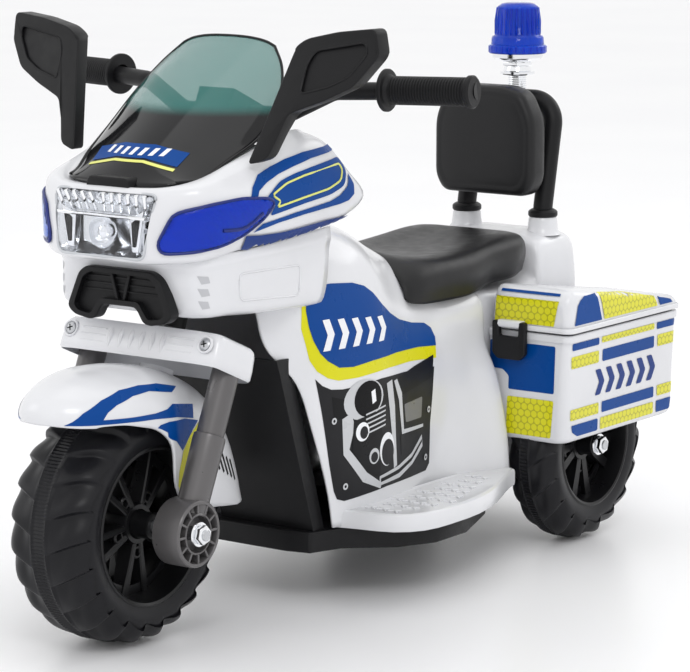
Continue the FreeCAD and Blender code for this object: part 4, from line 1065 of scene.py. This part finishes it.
def make_wheels():
    make_tyre("front_tyre", "front_wheel", 22, 73)
    make_rim("front_rim", "front_wheel", 42, 19)
    for side in ("left", "right"):
        make_tyre(f"rear_tyre_{side}", f"rear_wheel_{side}", 18, 65)
        make_rim(f"rear_rim_{side}", f"rear_wheel_{side}", 26, 16)


# ---------------------------------------------------------------- front fork, mudguard and handlebar
FENDER_ROWS = [
    [(0, -400, 211), (13, -398, 211), (25, -392, 210), (35, -383, 209), (42, -371, 208)],
    [(0, -401, 219), (14, -399, 218), (27, -392, 216), (37, -382, 213), (44, -369, 209)],
    [(0, -396, 230), (17, -393, 228), (32, -384, 224), (42, -373, 218), (48, -359, 209)],
    [(0, -377, 242), (21, -374, 239), (38, -366, 232), (48, -356, 222), (53, -345, 208)],
    [(0, -345, 250), (24, -343, 247), (42, -340, 238), (52, -337, 224), (56, -331, 205)],
    [(0, -305, 250), (25, -305, 247), (44, -305, 238), (54, -305, 220), (57, -305, 197)],
    [(0, -268, 244), (26, -269, 241), (44, -272, 230), (55, -280, 207), (58, -288, 181)],
    [(0, -240, 234), (26, -242, 231), (44, -249, 219), (54, -266, 182), (57, -281, 141)],
    [(0, -212, 219), (26, -215, 216), (44, -224, 203), (53, -245, 165), (56, -265, 122)],
    [(0, -186, 197), (25, -190, 194), (42, -200, 181), (50, -221, 150), (53, -240, 116)],
    [(0, -167, 169), (23, -171, 166), (38, -181, 156), (46, -199, 136), (48, -214, 112)],
    [(0, -154, 137), (20, -157, 135), (33, -165, 129), (41, -179, 119), (43, -190, 108)],
    [(0, -147, 108), (17, -149, 108), (28, -154, 107), (36, -164, 106), (38, -172, 105)],
]


def make_fender():
    """White mudguard with blue and yellow flashes and five slots on each flank."""
    pieces = [skin("mudguard_skin", FENDER_ROWS, "white", 6, 5, 2.6)]
    tree = tree_of(pieces[0])
    for side in (1, -1):
        lay = printer(pieces, tree, side, 4.0)
        lay([(-393, 212), (-381, 222), (-363, 231), (-342, 237), (-319, 238), (-294, 236), (-264, 229),
             (-277, 226), (-309, 232), (-331, 231), (-351, 226), (-361, 221), (-366, 215), (-340, 214),
             (-308, 213), (-292, 214), (-282, 217), (-247, 211), (-250, 199), (-279, 205), (-309, 208),
             (-341, 210), (-370, 211)], "blue")
        lay([(-316, 196), (-303, 202), (-291, 203), (-264, 201), (-243, 196), (-252, 190), (-262, 182),
             (-272, 174), (-282, 184), (-296, 190)], "blue")
        lay([(-241, 195), (-243, 180), (-258, 160), (-270, 142), (-279, 128), (-281, 140), (-278, 156),
             (-271, 173), (-258, 185)], "yellow")
    for side in (1, -1):
        for index in range(5):
            y, top = -222 + index * 8, 166 - index * 4
            slot = [(y, top), (y + 2.5, top + 1), (y + 13, top - 20), (y + 10.5, top - 21)]
            pieces.append(print_on("slot", tree, slot, "dark_print", "X", side, 0.3, 2.5))
    boss = tube("boss", [(0, *fork_point(0, 122)), (0, *fork_point(0, 141))], 16, "white", 32)
    place_piece(join("mudguard_cover", pieces + [boss]), "steering", "white_plastic", "front_fender")


STEER = next(joint for joint in frame["joints"] if joint["name"] == "steer")


def fork_point(y, z):
    """Row (y, z) of a point in the raked fork's frame."""
    up = Vector(STEER["axis"])
    spot = Vector(STEER["pos_m"]) / MM + Vector((0, up.z, -up.y)) * y + up * z
    return spot.y, spot.z


def make_fork():
    """Grey fork legs with a ribbed disc at each foot, and the hardware of both axles."""
    up = Vector(STEER["axis"])
    for name, side in SIDES:
        low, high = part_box(f"fork_leg_{name}")
        base = ((low.x + high.x) / 2 / MM, *fork_point(0, 0))
        leg = [(16, 14.0), (60, 14.4), (84, 14.6), (87, 14.2), (88, 12.6)]
        pieces = [lathe("leg", leg, base, up, "grey", 40)]
        outward = Vector((side, 0, 0))
        start = Vector(base) - outward * 15
        disc = [(0, 6.3), (0, 27), (1.5, 29.4), (3, 30), (24, 30), (29, 29.6), (30, 28.8), (30, 26.4),
                (29.4, 26), (20, 25.5), (20, 18.8), (29.4, 18.3), (30, 17.6), (29.6, 16.6), (20, 16),
                (20, 6.3)]
        pieces.append(lathe("disc", disc, start, outward, "grey", 64))
        for c, s in circle(12):
            out = Vector((0, c, s))
            middle = start + outward * 24.8 + out * 22.2
            rib = slab("rib", (-4.8, -4.4, -1.1), (4.8, 4.4, 1.1), "grey", 0.4, 1)
            axes = Matrix((outward, out, outward.cross(out))).transposed().to_4x4()
            pieces.append(moved(rib, Matrix.Translation(middle * MM) @ axes))
        place_piece(join(f"fork_leg_cast_{name}", pieces), "steering", "grey_fork", f"fork_leg_{name}")
    axle_hardware("front_axle", "steering")
    axle_hardware("rear_axle", "chassis")


def axle_hardware(axle, body):
    """A stamped washer, a hexagon nut and a bolt end outside each end of an axle."""
    low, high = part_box(axle)
    y, z = (low.y + high.y) / 2 / MM, (low.z + high.z) / 2 / MM
    washer = [(-0.6, 6.1), (-0.6, 10.6), (0.2, 11.2), (1.2, 10.8), (1.2, 6)]
    angles = [math.radians(60 * k + 15) for k in range(6)]
    hexagon = [(y + 9.0 * math.cos(a), z + 9.0 * math.sin(a)) for a in angles]
    bolt = [(5, 5.2), (8.4, 5.0), (9.0, 4.2), (9.0, 0.2)]
    pieces = []
    for x, side in ((high.x / MM, 1), (low.x / MM, -1)):
        out = (side, 0, 0)
        pieces.append(lathe("washer", washer, (x, y, z), out, "chrome", 40))
        pieces.append(prism("nut", hexagon, x + side * 1.2, x + side * 7.2, "X", "chrome", 1.0))
        pieces.append(lathe("bolt", bolt, (x, y, z), out, "steel", 24))
    place_piece(join(axle + "_hardware", pieces), body, "steel", axle + "_nuts")


def make_shroud():
    """White fork yoke with flutes on its front and two cross-head screws."""
    up = Vector(STEER["axis"])
    y0, z0 = fork_point(0, 142)
    front = Vector((0, -up.z, up.y))
    pieces = []
    outline = rounded([(-91, -34), (-70, -38), (70, -38), (91, -34), (91, 22), (74, 30), (-74, 30),
                       (-91, 22)], 7, 4)
    rows = []
    for height, inset in ((0, 1.5), (2, 0), (10, 0), (22, 1.0), (27, 2.5), (30, 6)):
        rows.append([Vector((x * (1 - inset / 91), y0, z0)) - front * (y * (1 - inset / 60)) + up * height
                     for x, y in outline])
    pieces.append(smooth_by_angle(loop_stack("yoke", rows, "white", cap_first=False), 50))
    for index in range(6):
        x = -30 + index * 12
        foot = Vector((x, y0, z0)) + front * 37.4
        pieces.append(tube("flute", [foot + up * 6, foot + up * 16 + front * 0.6, foot + up * 29 - front * 5],
                           [1.2, 2.6, 2.4], "white", 12))
    for side in (1, -1):
        for height in (9, 15, 21):
            a = Vector((side * 36, y0, z0)) + front * 37.6 + up * height
            b = Vector((side * 64, y0, z0)) + front * 37.6 + up * height
            pieces.append(tube("line", [a, b], 0.7, "white", 8))
    place_piece(join("fork_yoke", pieces), "steering", "white_plastic", "fork_shroud")
    screws = []
    for side in (1, -1):
        spot = Vector((side * 77, y0, z0)) + front * 36.6 + up * 18
        ring = [(0.4, 8.2), (2.0, 7.8), (2.2, 6.4), (0.6, 5.6)]
        head = [(0, 5.2), (1.8, 5.2), (3.0, 3.6), (3.3, 1.4), (2.4, 0.2)]
        screws += [lathe("seat_ring", ring, spot, front, "white", 32),
                   lathe("head", head, spot, front, "steel", 28)]
        for angle in (20, 110):
            bar = slab("cross", (-3.0, -0.55, -0.4), (3.0, 0.55, 0.4), "black", 0.15, 1)
            across = Vector((1, 0, 0))
            axes = Matrix((across, front.cross(across), front)).transposed().to_4x4()
            turned = axes @ Matrix.Rotation(math.radians(angle), 4, "Z")
            screws.append(moved(bar, Matrix.Translation((spot + front * 3.2) * MM) @ turned))
    place_piece(join("yoke_screws", screws), "steering", "steel", "shroud_screws")


def make_grips():
    """Ribbed rubber grips, turned along the line of each CAD grip from its ends."""
    for name, side in SIDES:
        source = frame["nodes"][f"grip_{name}"].data
        points = [v.co / MM for v in source.vertices]
        near = min(points, key=lambda p: abs(p.x))
        far = max(points, key=lambda p: abs(p.x))
        inner = [p for p in points if abs(p.x - near.x) < 9]
        outer = [p for p in points if abs(p.x - far.x) < 6]
        start = sum(inner, Vector()) / len(inner)
        end = sum(outer, Vector()) / len(outer)
        heading = (end - start).normalized()
        length = abs(far.x - near.x) / abs(heading.x) - 6
        start = start - heading * 1.5
        profile = [(0, 9), (0, 18.4), (0.8, 19.2), (3.2, 19.2), (4.2, 18.4), (4.6, 14.5), (7, 12.6)]
        count = 26
        pitch = (length - 16) / count
        for index in range(count):
            at = 8 + index * pitch
            profile += [(at, 12.2), (at + pitch * 0.18, 12.9), (at + pitch * 0.55, 12.9),
                        (at + pitch * 0.75, 12.1)]
        profile += [(length - 7, 12.4), (length - 5, 14.6), (length - 1.5, 14.8), (length, 13.2), (length, 4)]
        grip = lathe(f"grip_rubber_{name}", profile, start, heading, "rubber", 40)
        place_piece(grip, "steering", "grip_rubber", f"grip_{name}")


# ---------------------------------------------------------------- seat, backrest and beacon
SEAT_ROWS = [
    [(0, 62, 309), (18, 60, 308), (34, 55, 305), (47, 50, 300), (60, 47, 291), (69, 45, 281), (74, 44, 270)],
    [(0, 66, 311), (19, 64, 310), (37, 59, 307), (50, 55, 302), (64, 51, 292), (73, 48, 281), (77, 47, 267)],
    [(0, 84, 306), (24, 82, 306), (46, 78, 305), (62, 73, 301), (74, 67, 291), (79, 63, 279), (80, 60, 264)],
    [(0, 112, 301), (28, 112, 301), (54, 110, 302), (71, 107, 299), (79, 102, 290), (81, 99, 279),
     (80, 98, 262)],
    [(0, 150, 299), (28, 150, 300), (54, 150, 302), (70, 150, 300), (79, 150, 291), (81, 150, 279),
     (78, 150, 262)],
    [(0, 195, 302), (28, 195, 303), (50, 195, 305), (66, 195, 304), (74, 195, 297), (76, 195, 287),
     (69, 195, 266)],
    [(0, 245, 307), (28, 245, 308), (48, 244, 310), (63, 243, 308), (73, 241, 300), (75, 240, 289),
     (68, 240, 267)],
    [(0, 270, 309), (26, 269, 309), (45, 267, 309), (60, 264, 307), (69, 260, 300), (71, 258, 290),
     (65, 258, 270)],
    [(0, 284, 303), (24, 283, 303), (42, 280, 303), (56, 275, 301), (64, 270, 295), (66, 268, 287),
     (62, 268, 272)],
    [(0, 284, 272), (20, 283, 272), (38, 280, 272), (52, 275, 272), (58, 270, 272), (60, 268, 272),
     (60, 267, 272)],
]


def make_seat():
    seat = skin("seat_cover", SEAT_ROWS, "seat", 6, 6, 2.5)
    place_piece(seat, "chassis", "seat_plastic", "seat")


def make_backrest():
    """Cushion with rounded edges and a shallow groove round its face, and the collars of the hoop."""
    (_, front, z0), (x1, back, z1) = box_mm("backrest_pad")
    middle = (z0 + z1) / 2
    outline = rounded([(x1 - 10, z0), (x1, z0 + 16), (x1, z1 - 34), (x1 - 14, z1 - 6), (26, z1), (-26, z1),
                       (14 - x1, z1 - 6), (-x1, z1 - 34), (-x1, z0 + 16), (10 - x1, z0)], 13, 5)
    rows = []
    for y, inset in ((back, 9), (back, 5), (back - 1, 2), (back - 4, 0.4), (back - 9, 0), (front + 10, 0),
                     (front + 5, 0.8), (front + 2.2, 3.0), (front + 1.0, 6.5), (front + 1.4, 9),
                     (front + 1.0, 11), (front + 0.4, 18), (front, 30), (front, 45), (front, 55)):
        rows.append([(x * (1 - inset / x1), y, middle + (z - middle) * (1 - inset / (middle - z0)))
                     for x, z in outline])
    pad = loop_stack("backrest_cushion", rows, "seat")
    place_piece(pad, "chassis", "seat_plastic", "backrest_pad")
    low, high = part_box("backrest_hoop")
    collars = []
    for side in (1, -1):
        x = side * ((high.x - low.x) / 2 / MM - 10)
        collars.append(lathe("collar", [(0, 10), (0, 14.2), (1.5, 15.2), (5, 15.2), (6.5, 14), (8, 11.5),
                                        (8, 10)],
                             (x, 330, 318), (0, 0, 1), "black", 36))
    place_piece(join("hoop_collars", collars), "chassis", "black_plastic")


def make_beacon():
    """Ribbed blue dome over a solid core, its chrome seat with a hexagon, and the threaded pole."""
    low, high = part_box("beacon_dome")
    middle = (low + high) / 2 / MM
    base, top = low.z / MM, high.z / MM
    spot = (middle.x, middle.y, base)
    height = top - base
    profile = [(0, 27.5), (0, 29.4), (1.5, 30), (7, 30), (8.5, 29), (9, 27.6), (16, 27.0), (17.5, 26.0),
               (18.5, 24.2), (20, 23.2), (height - 9, 22.4), (height - 4, 21.0), (height - 1.2, 17),
               (height, 12), (height, 0)]
    pieces = [lathe("dome", profile, spot, (0, 0, 1), "blue_glass", 72)]
    for c, s in circle(24):
        out = Vector((c, s, 0))
        start = Vector(spot) + out * 22.6 + Vector((0, 0, 19.5))
        end = Vector(spot) + out * 21.0 + Vector((0, 0, height - 5))
        path = [start, (start + end) / 2 + out * 0.7, end]
        pieces.append(tube("rib", path, [1.5, 1.7, 1.2], "blue_glass", 8))
        low_rib = Vector(spot) + out * 29.4
        pieces.append(tube("low_rib", [low_rib + Vector((0, 0, 1)), low_rib + Vector((0, 0, 7.5))], 0.9,
                           "blue_glass", 8))
    core = [(1, 25), (8, 25), (9, 22), (18, 21), (height - 6, 19), (height - 3, 15), (height - 2, 0)]
    pieces.append(lathe("core", core, spot, (0, 0, 1), "blue_lens"))
    place_piece(join("beacon_lens", pieces), "chassis", "blue_lens", "beacon_dome")
    low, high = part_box("beacon_mount")
    foot, reach = low.z / MM, (high.z - low.z) / MM
    neck = [(0, 12), (0, 17), (1, 18), (3, 18), (4, 15), (reach * 0.45, 13), (reach * 0.6, 15),
            (reach * 0.72, 24), (reach * 0.8, 26), (reach, 26), (reach, 12)]
    hexagon = [(middle.x + 17 * c, middle.y + 17 * s) for c, s in circle(6)]
    parts = [lathe("neck", neck, (middle.x, middle.y, foot), (0, 0, 1), "chrome", 56),
             prism("nut", hexagon, foot + reach * 0.42, foot + reach * 0.62, "Z", "chrome", 1.0)]
    place_piece(join("beacon_seat", parts), "chassis", "chrome", "beacon_mount")
    low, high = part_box("beacon_pole")
    pole = [(0, 9)]
    turns = 7
    length = (high.z - low.z) / MM
    for index in range(turns):
        at = length * (index + 0.2) / turns
        pole += [(at, 9), (at + length * 0.3 / turns, 10.4), (at + length * 0.5 / turns, 9.2)]
    pole.append((length, 9))
    thread = lathe("beacon_thread", pole, (middle.x, middle.y, low.z / MM), (0, 0, 1), "chrome", 40)
    place_piece(thread, "chassis", "chrome", "beacon_pole")


# ---------------------------------------------------------------- side boxes
LID_CROWN = [(184, 250), (187, 258), (191, 263), (197, 267), (206, 268), (250, 265.5), (300, 260.5),
             (349, 251), (376, 244), (388, 240), (396, 235), (401, 229)]


HINGE = (405, 225)  # (y, z) of the lid hinges, behind the boxes
BOX_REAR, BOX_RIM = 400.0, 224.0  # rear wall's y and rim's height
LID_REAR, LID_BASE = 401.0, 225.5
LATCH_X, LID_X = 105, 117  # middle of the latch and of the lid's knuckle, out from the centre plane


def side_span(name):
    """Inner and outer distance of a node from the centre plane, in millimetres."""
    low, high = box_mm(name)
    return sorted((abs(low[0]), abs(high[0])))


def hinge_leaf(x, half, low, high):
    """One hinge knuckle and the leaf that joins it to its wall."""
    barrel = [(-half, 2.6), (-half, 4.8), (half, 4.8), (half, 2.6)]
    reach = half - 0.2
    return [lathe("knuckle", barrel, (x, *HINGE), (1, 0, 0), "white", 28),
            slab("leaf", (x - reach, 396, low), (x + reach, HINGE[0], high), "white", 0.5, 1)]


def lid_top(y):
    """Height of the lid's crown: level at the front, then sloping down to the rear."""
    for (y0, z0), (y1, z1) in zip(LID_CROWN, LID_CROWN[1:]):
        if y <= y1:
            return z0 + (z1 - z0) * max(0.0, y - y0) / (y1 - y0)
    return LID_CROWN[-1][1]


def make_boxes():
    for name, side in SIDES:
        make_box_shell(name, side)
        make_lid(name, side)
        make_latch(name, side)


def make_box_shell(name, side):
    """Open box with a rim, a floor and its graphics, given as (y, z) on the flank and (x, z) on the front."""
    x0, x1 = side_span(f"side_box_{name}")
    _, y0, z0 = box_mm(f"side_box_{name}")[0]
    y1 = min(box_mm(f"lid_{name}")[1][1], BOX_REAR)
    z1 = max(box_mm(f"lid_{name}")[0][2], BOX_RIM)
    rows = []
    for z, inset, radius in (
            (z0, 7, 12), (z0 + 2, 3.5, 12), (z0 + 7, 1.6, 11), (z1 - 9, 0, 9), (z1 - 8, 0, 9),
            (z1 - 7.6, -1.8, 9), (z1 - 1.5, -1.8, 9), (z1 - 0.6, -1.0, 9), (z1 - 0.6, 2.0, 8)):
        front = y0 - 6.2 * step_up(-z, -190, -145)  # the front bulges low down, clear of the tyre
        ring = rounded_rectangle(x0 + max(inset, 0), x1 - inset, front + inset, y1 - inset, radius)
        rows.append([(side * x, y, z) for x, y in ring])
    shell = loop_stack("shell", rows, "white", wall=2.4, cap_first=False, cap_last=False)
    ring = rounded_rectangle(x0 + 3, x1 - 3, y0 + 3, y1 - 3, 12)
    floor = loop_stack("floor", [[(side * x, y, z0 + z) for x, y in ring] for z in (87, 90)], "white")
    smooth_by_angle(shell, 40)
    tree = tree_of(shell)
    pieces = [shell, floor]

    def lay(outline, material):
        pieces.append(print_on("print", tree, rounded(outline, 1.2, 1), material, "X", side, 0.45, 5.0))

    def lay_front(outline, material):
        points = [(side * x, z) for x, z in rounded(outline, 1.2, 1)]
        pieces.append(print_on("print", tree, points, material, "Y", -1, 0.45, 5.0))

    def lay_bars(*bars):
        for y0, y1, z0, z1, material in bars:
            lay([(y0, z0), (y1, z0), (y1, z1), (y0, z1)], material)

    lay_bars((195, 245, 208, 215, "blue"), (250, 353, 209, 215, "hex_yellow"), (358, 398, 208, 215, "blue"),
             (194, 245, 190, 202, "hex_yellow"), (252, 353, 190, 202, "blue"),
             (360, 396, 190, 202, "hex_yellow"))
    for y in range(246, 366, 20):
        lay([(y - 7, 157), (y + 3, 157), (y + 11, 170), (y + 3, 183), (y - 7, 183), (y + 1, 170)],
            "deep_blue")
    lay_bars((194, 247, 138, 149, "hex_yellow"), (253, 355, 138, 149, "blue"),
             (362, 394, 138, 149, "hex_yellow"))
    lay([(208, 121), (246, 121), (246, 133), (196, 133), (198, 126)], "blue")
    lay_bars((251, 355, 121, 133, "hex_yellow"))
    lay([(361, 121), (388, 121), (392, 133), (361, 133)], "blue")
    lay_front([(76, 212), (153, 212), (153, 165), (100, 165), (100, 178), (93, 184), (76, 185)], "blue")
    lay_front([(99, 158), (153, 158), (151, 121), (99, 121)], "hex_yellow")
    for middle in (88, 146):
        pieces += hinge_leaf(side * middle, 8, 220.4, 224)
    place_piece(join(f"side_box_shell_{name}", pieces), "chassis", "white_plastic", f"side_box_{name}")


def make_lid(name, side):
    """Sloping lid with a lip, its graphics, the latch's ear at the front and the hinge at the back."""
    x0, x1 = side_span(f"lid_{name}")
    x0 += 6
    y0, y1, base = box_mm(f"side_box_{name}")[0][1] - 2, LID_REAR, LID_BASE
    levels = ((0.0, 0.0, 9), (0.35, 0.3, 9), (0.76, 0.9, 10), (0.88, 1.8, 11), (0.95, 3.8, 12),
              (0.985, 7.0, 12), (1.0, 12.0, 10), (1.0, 22, 8), (1.0, 33, 3), (1.0, 43, 1))
    rows = []
    for share, inset, radius in levels:
        ring = []
        ends = y0 + inset * 0.35, y1 - inset * 0.35
        for x, y in rounded_rectangle(x0 + inset * 0.6, x1 - inset, *ends, radius):
            crown = lid_top(min(max(y, y0 + 2), y1))
            ring.append((side * x, y, base + (crown - base) * share))
        rows.append(ring)
    lid = loop_stack("lid", rows, "white", wall=2.0, cap_first=False)
    tree = tree_of(lid)
    pieces = [lid]
    lip = []
    for inner, outer, front, back, height, radius in (
            (-0.2, 1.6, -1.6, 1.2, 0.2, 10), (0, 1.8, -1.8, 1.4, 0.8, 10),
            (0, 1.8, -1.8, 1.4, 4.4, 10), (0, 0.2, -0.4, 0, 5.2, 9)):
        ring = rounded_rectangle(x0 + inner, x1 + outer, y0 + front, y1 + back, radius)
        lip.append([(side * x, y, base + height) for x, y in ring])
    pieces.append(loop_stack("lip", lip, "white", cap_first=False, cap_last=False))
    for outline, material in (
            ([(195, 233), (246, 233), (238, 260), (214, 260), (206, 257), (201, 252)], "blue"),
            ([(251, 233), (355, 233), (351, 243), (300, 253), (244, 260)], "hex_yellow"),
            ([(361, 233), (386, 233), (382, 236.5), (357, 242)], "blue")):
        pieces.append(print_on("print", tree, outline, material, "X", side, 0.8, 4.0))
    for outline, material in (([(83, 232), (152, 232), (157, 257), (84, 257)], "hex_yellow"),
                              ([(88, 261.4), (156, 261.4), (156, 263.6), (88, 263.6)], "blue")):
        points = [(side * x, z) for x, z in outline]
        pieces.append(print_on("print", tree, points, material, "Y", -1, 0.8, 4.0))
    middle, half = side * LATCH_X, 13.5
    ear_y, ear_z = y0 - 6, base + 5.5
    low, high = (middle - half, ear_y, ear_z - 3.6), (middle + half, y0 + 3, ear_z + 3.6)
    round_end = [(-half, 0), (-half, 3.2), (-12.9, 3.9), (12.9, 3.9), (half, 3.2), (half, 0)]
    pieces += [slab("ear", low, high, "white", 0.8),
               lathe("ear_round", round_end, (middle, ear_y, ear_z), (1, 0, 0), "white", 28)]
    pieces += hinge_leaf(side * LID_X, 20, 226, 229.6)
    place_piece(join(f"lid_cover_{name}", pieces), f"box_lid_{name}", "white_plastic", f"lid_{name}")


def make_latch(name, side):
    """Black clip with a notch at the top for the lid's ear."""
    x0, x1 = side_span(f"latch_{name}")
    (_, front, z0), (_, _, z1) = box_mm(f"latch_{name}")
    outline = rounded([(x0, z1), (x0, z0 + 6), (x0 + 6, z0), (x1 - 6, z0), (x1, z0 + 6), (x1, z1),
                       (x1 - 7, z1), (x1 - 8, z1 - 15), (x0 + 8, z1 - 15), (x0 + 7, z1)], 2.4, 3)
    clip = prism("clip", [(side * x, z) for x, z in outline], front, front + 6.5, "Y", "black", 1.2)
    place_piece(join(f"latch_clip_{name}", [clip]), f"box_latch_{name}", "black_plastic", f"latch_{name}")


# ---------------------------------------------------------------- footboards
BOARD = [(84, -82), (94, -79), (108, -76), (124, -73), (138, -68), (150, -58), (158, -45), (162, -28),
         (163, -10), (163, 20), (161, 44), (156, 68), (148, 94), (138, 118), (128, 141), (120, 162),
         (118, 171), (113, 174), (98, 174), (84, 173)]


def make_footboards():
    """Boards with a rolled edge and paired studs; the right one has none ahead, where the pedal is."""
    for name, side in SIDES:
        low, high = box_mm(f"footboard_{name}")
        base, top = low[2], high[2]
        centre = Vector((110, 40, 0))
        rows = []
        for z, inset in ((base, 3), (base + 0.5, 1), (base + 3, 0), (top - 4, 0), (top - 1.2, 1.0), (top, 3.2),
                         (top, 6.0), (top - 0.6, 7.0), (top - 0.6, 30), (top - 0.6, 60)):
            ring = []
            for x, y in BOARD:
                inwards = centre - Vector((x, y, 0))
                spot = Vector((x, y, 0)) + inwards.normalized() * min(inset, inwards.length * 0.9)
                ring.append((side * spot.x, spot.y, z))
            rows.append(ring)
        pieces = [smooth_by_angle(loop_stack("board", rows, "white"), 35)]
        for row in range(9):
            for column in range(4):
                x = 103 + column * 13 + (6 if row % 2 else 0)
                y = -52 + row * 21
                reach = 150 - max(0, (y - 40)) * 0.36 - max(0, (-20 - y)) * 0.6
                if x > reach or (side < 0 and y < 36):
                    continue
                for turn in (35, -35):
                    stud = slab("stud", (-6.5, -0.9, -0.8), (6.5, 0.9, 0.8), "white", 0.5, 1)
                    spot = Matrix.Translation(Vector((side * x, y, top - 0.2)) * MM)
                    pieces.append(moved(stud, spot @ Matrix.Rotation(math.radians(turn), 4, "Z")))
        place_piece(join(f"footboard_tread_{name}", pieces), "chassis", "white_plastic", f"footboard_{name}")


def soften_nodes():
    """Weld and round the edges of the machined and moulded pieces that show as modelled."""
    for name, width in (("front_cowl", 3.0), ("undertray", 2.0), ("dash_cowl", 2.0), ("handlebar_clamp", 2.5),
                        ("pad_bracket", 2.0), ("throttle_pedal", 1.0), ("horn_button", 0.8),
                        ("music_button", 0.8), ("gearbox_case", 2.0)):
        node = frame["nodes"][name]
        joined = node.modifiers.new("weld", "WELD")
        joined.merge_threshold = 0.02 * MM
        add_bevel(node, width, 3, 30)
        node.modifiers.new("sharp", "WEIGHTED_NORMAL")


# ---------------------------------------------------------------- materials of the CAD nodes that stay
NODE_MATERIALS = {
    "white": "body_shell footboard_left footboard_right fairing fork_shroud front_fender side_box_left "
             "side_box_right lid_left lid_right",
    "black": "front_cowl undertray dash_cowl intake_grille mirror_left mirror_right handlebar "
             "handlebar_clamp backrest_hoop pad_bracket latch_left latch_right gearbox_case battery "
             "speaker head_tube throttle_pedal horn_button music_button",
    "smoke": "windscreen",
    "chrome": "headlight_reflector front_axle_nuts beacon_pole beacon_mount rear_axle_nuts",
    "clear_lens": "headlight_bulb headlight_lens beacon_lamp",
    "blue_lens": "indicator_left indicator_right beacon_dome",
    "rubber": "grip_left grip_right",
    "steel": "shroud_screws front_axle hinge_pins rear_axle drive_motor steering_column",
    "grey": "fork_tubes fork_leg_left fork_leg_right",
    "tyre": "front_tyre rear_tyre_left rear_tyre_right",
    "black_gloss": "front_rim rear_rim_left rear_rim_right",
    "seat": "seat backrest_pad",
}


def paint_nodes():
    for key, names in NODE_MATERIALS.items():
        for name in names.split():
            data = frame["nodes"][name].data
            data.materials.clear()
            data.materials.append(MATERIALS[key])


# ---------------------------------------------------------------- stage, light and camera
def make_stage():
    """A floor far wider than the view, a white world and four area lamps."""
    far = 9000
    corners = [(-far, -far, 0), (far, -far, 0), (far, far, 0), (-far, far, 0)]
    mesh_object("floor", corners, [(0, 1, 2, 3)], "floor")
    world = bpy.data.worlds.new("studio")
    bpy.context.scene.world = world
    world.use_nodes = True
    background = world.node_tree.nodes["Background"]
    background.inputs["Color"].default_value = (1, 1, 1, 1)
    background.inputs["Strength"].default_value = 1.0
    bpy.context.scene.view_settings.view_transform = "Standard"
    for name, place, aim, size, power in (
            ("key", (1.6, -1.9, 2.3), (0, 0, 0.2), 1.1, 16),
            ("fill", (-2.2, -1.6, 1.4), (0, 0, 0.25), 1.4, 5),
            ("back", (0.8, 2.6, 1.9), (0, 0.1, 0.3), 1.4, 8),
            ("top", (0.0, 0.2, 3.0), (0, 0, 0.2), 2.2, 8)):
        lamp = bpy.data.lights.new(name, "AREA")
        lamp.shape = "RECTANGLE"
        lamp.size = size
        lamp.size_y = size * 0.7
        lamp.energy = power
        obj = link_object(bpy.data.objects.new(name, lamp))
        obj.location = place
        obj.rotation_euler = (Vector(aim) - Vector(place)).to_track_quat("-Z", "Y").to_euler()


def make_camera():
    camera = bpy.data.cameras.new("camera")
    camera.lens = 157.28
    camera.sensor_width = 36
    obj = link_object(bpy.data.objects.new("camera", camera))
    place = Vector((1.6953, -2.2872, 0.7155))
    obj.location = place
    obj.rotation_euler = (Vector((0.0105, 0.033, 0.2298)) - place).to_track_quat("-Z", "Y").to_euler()
    bpy.context.scene.camera = obj


paint_nodes()
make_fairing()
make_chin()
make_grille()
make_screen()
make_mirrors()
make_body()
make_wheels()
make_fender()
make_fork()
make_shroud()
make_grips()
make_seat()
make_backrest()
make_beacon()
make_boxes()
make_footboards()
soften_nodes()
make_stage()
make_camera()
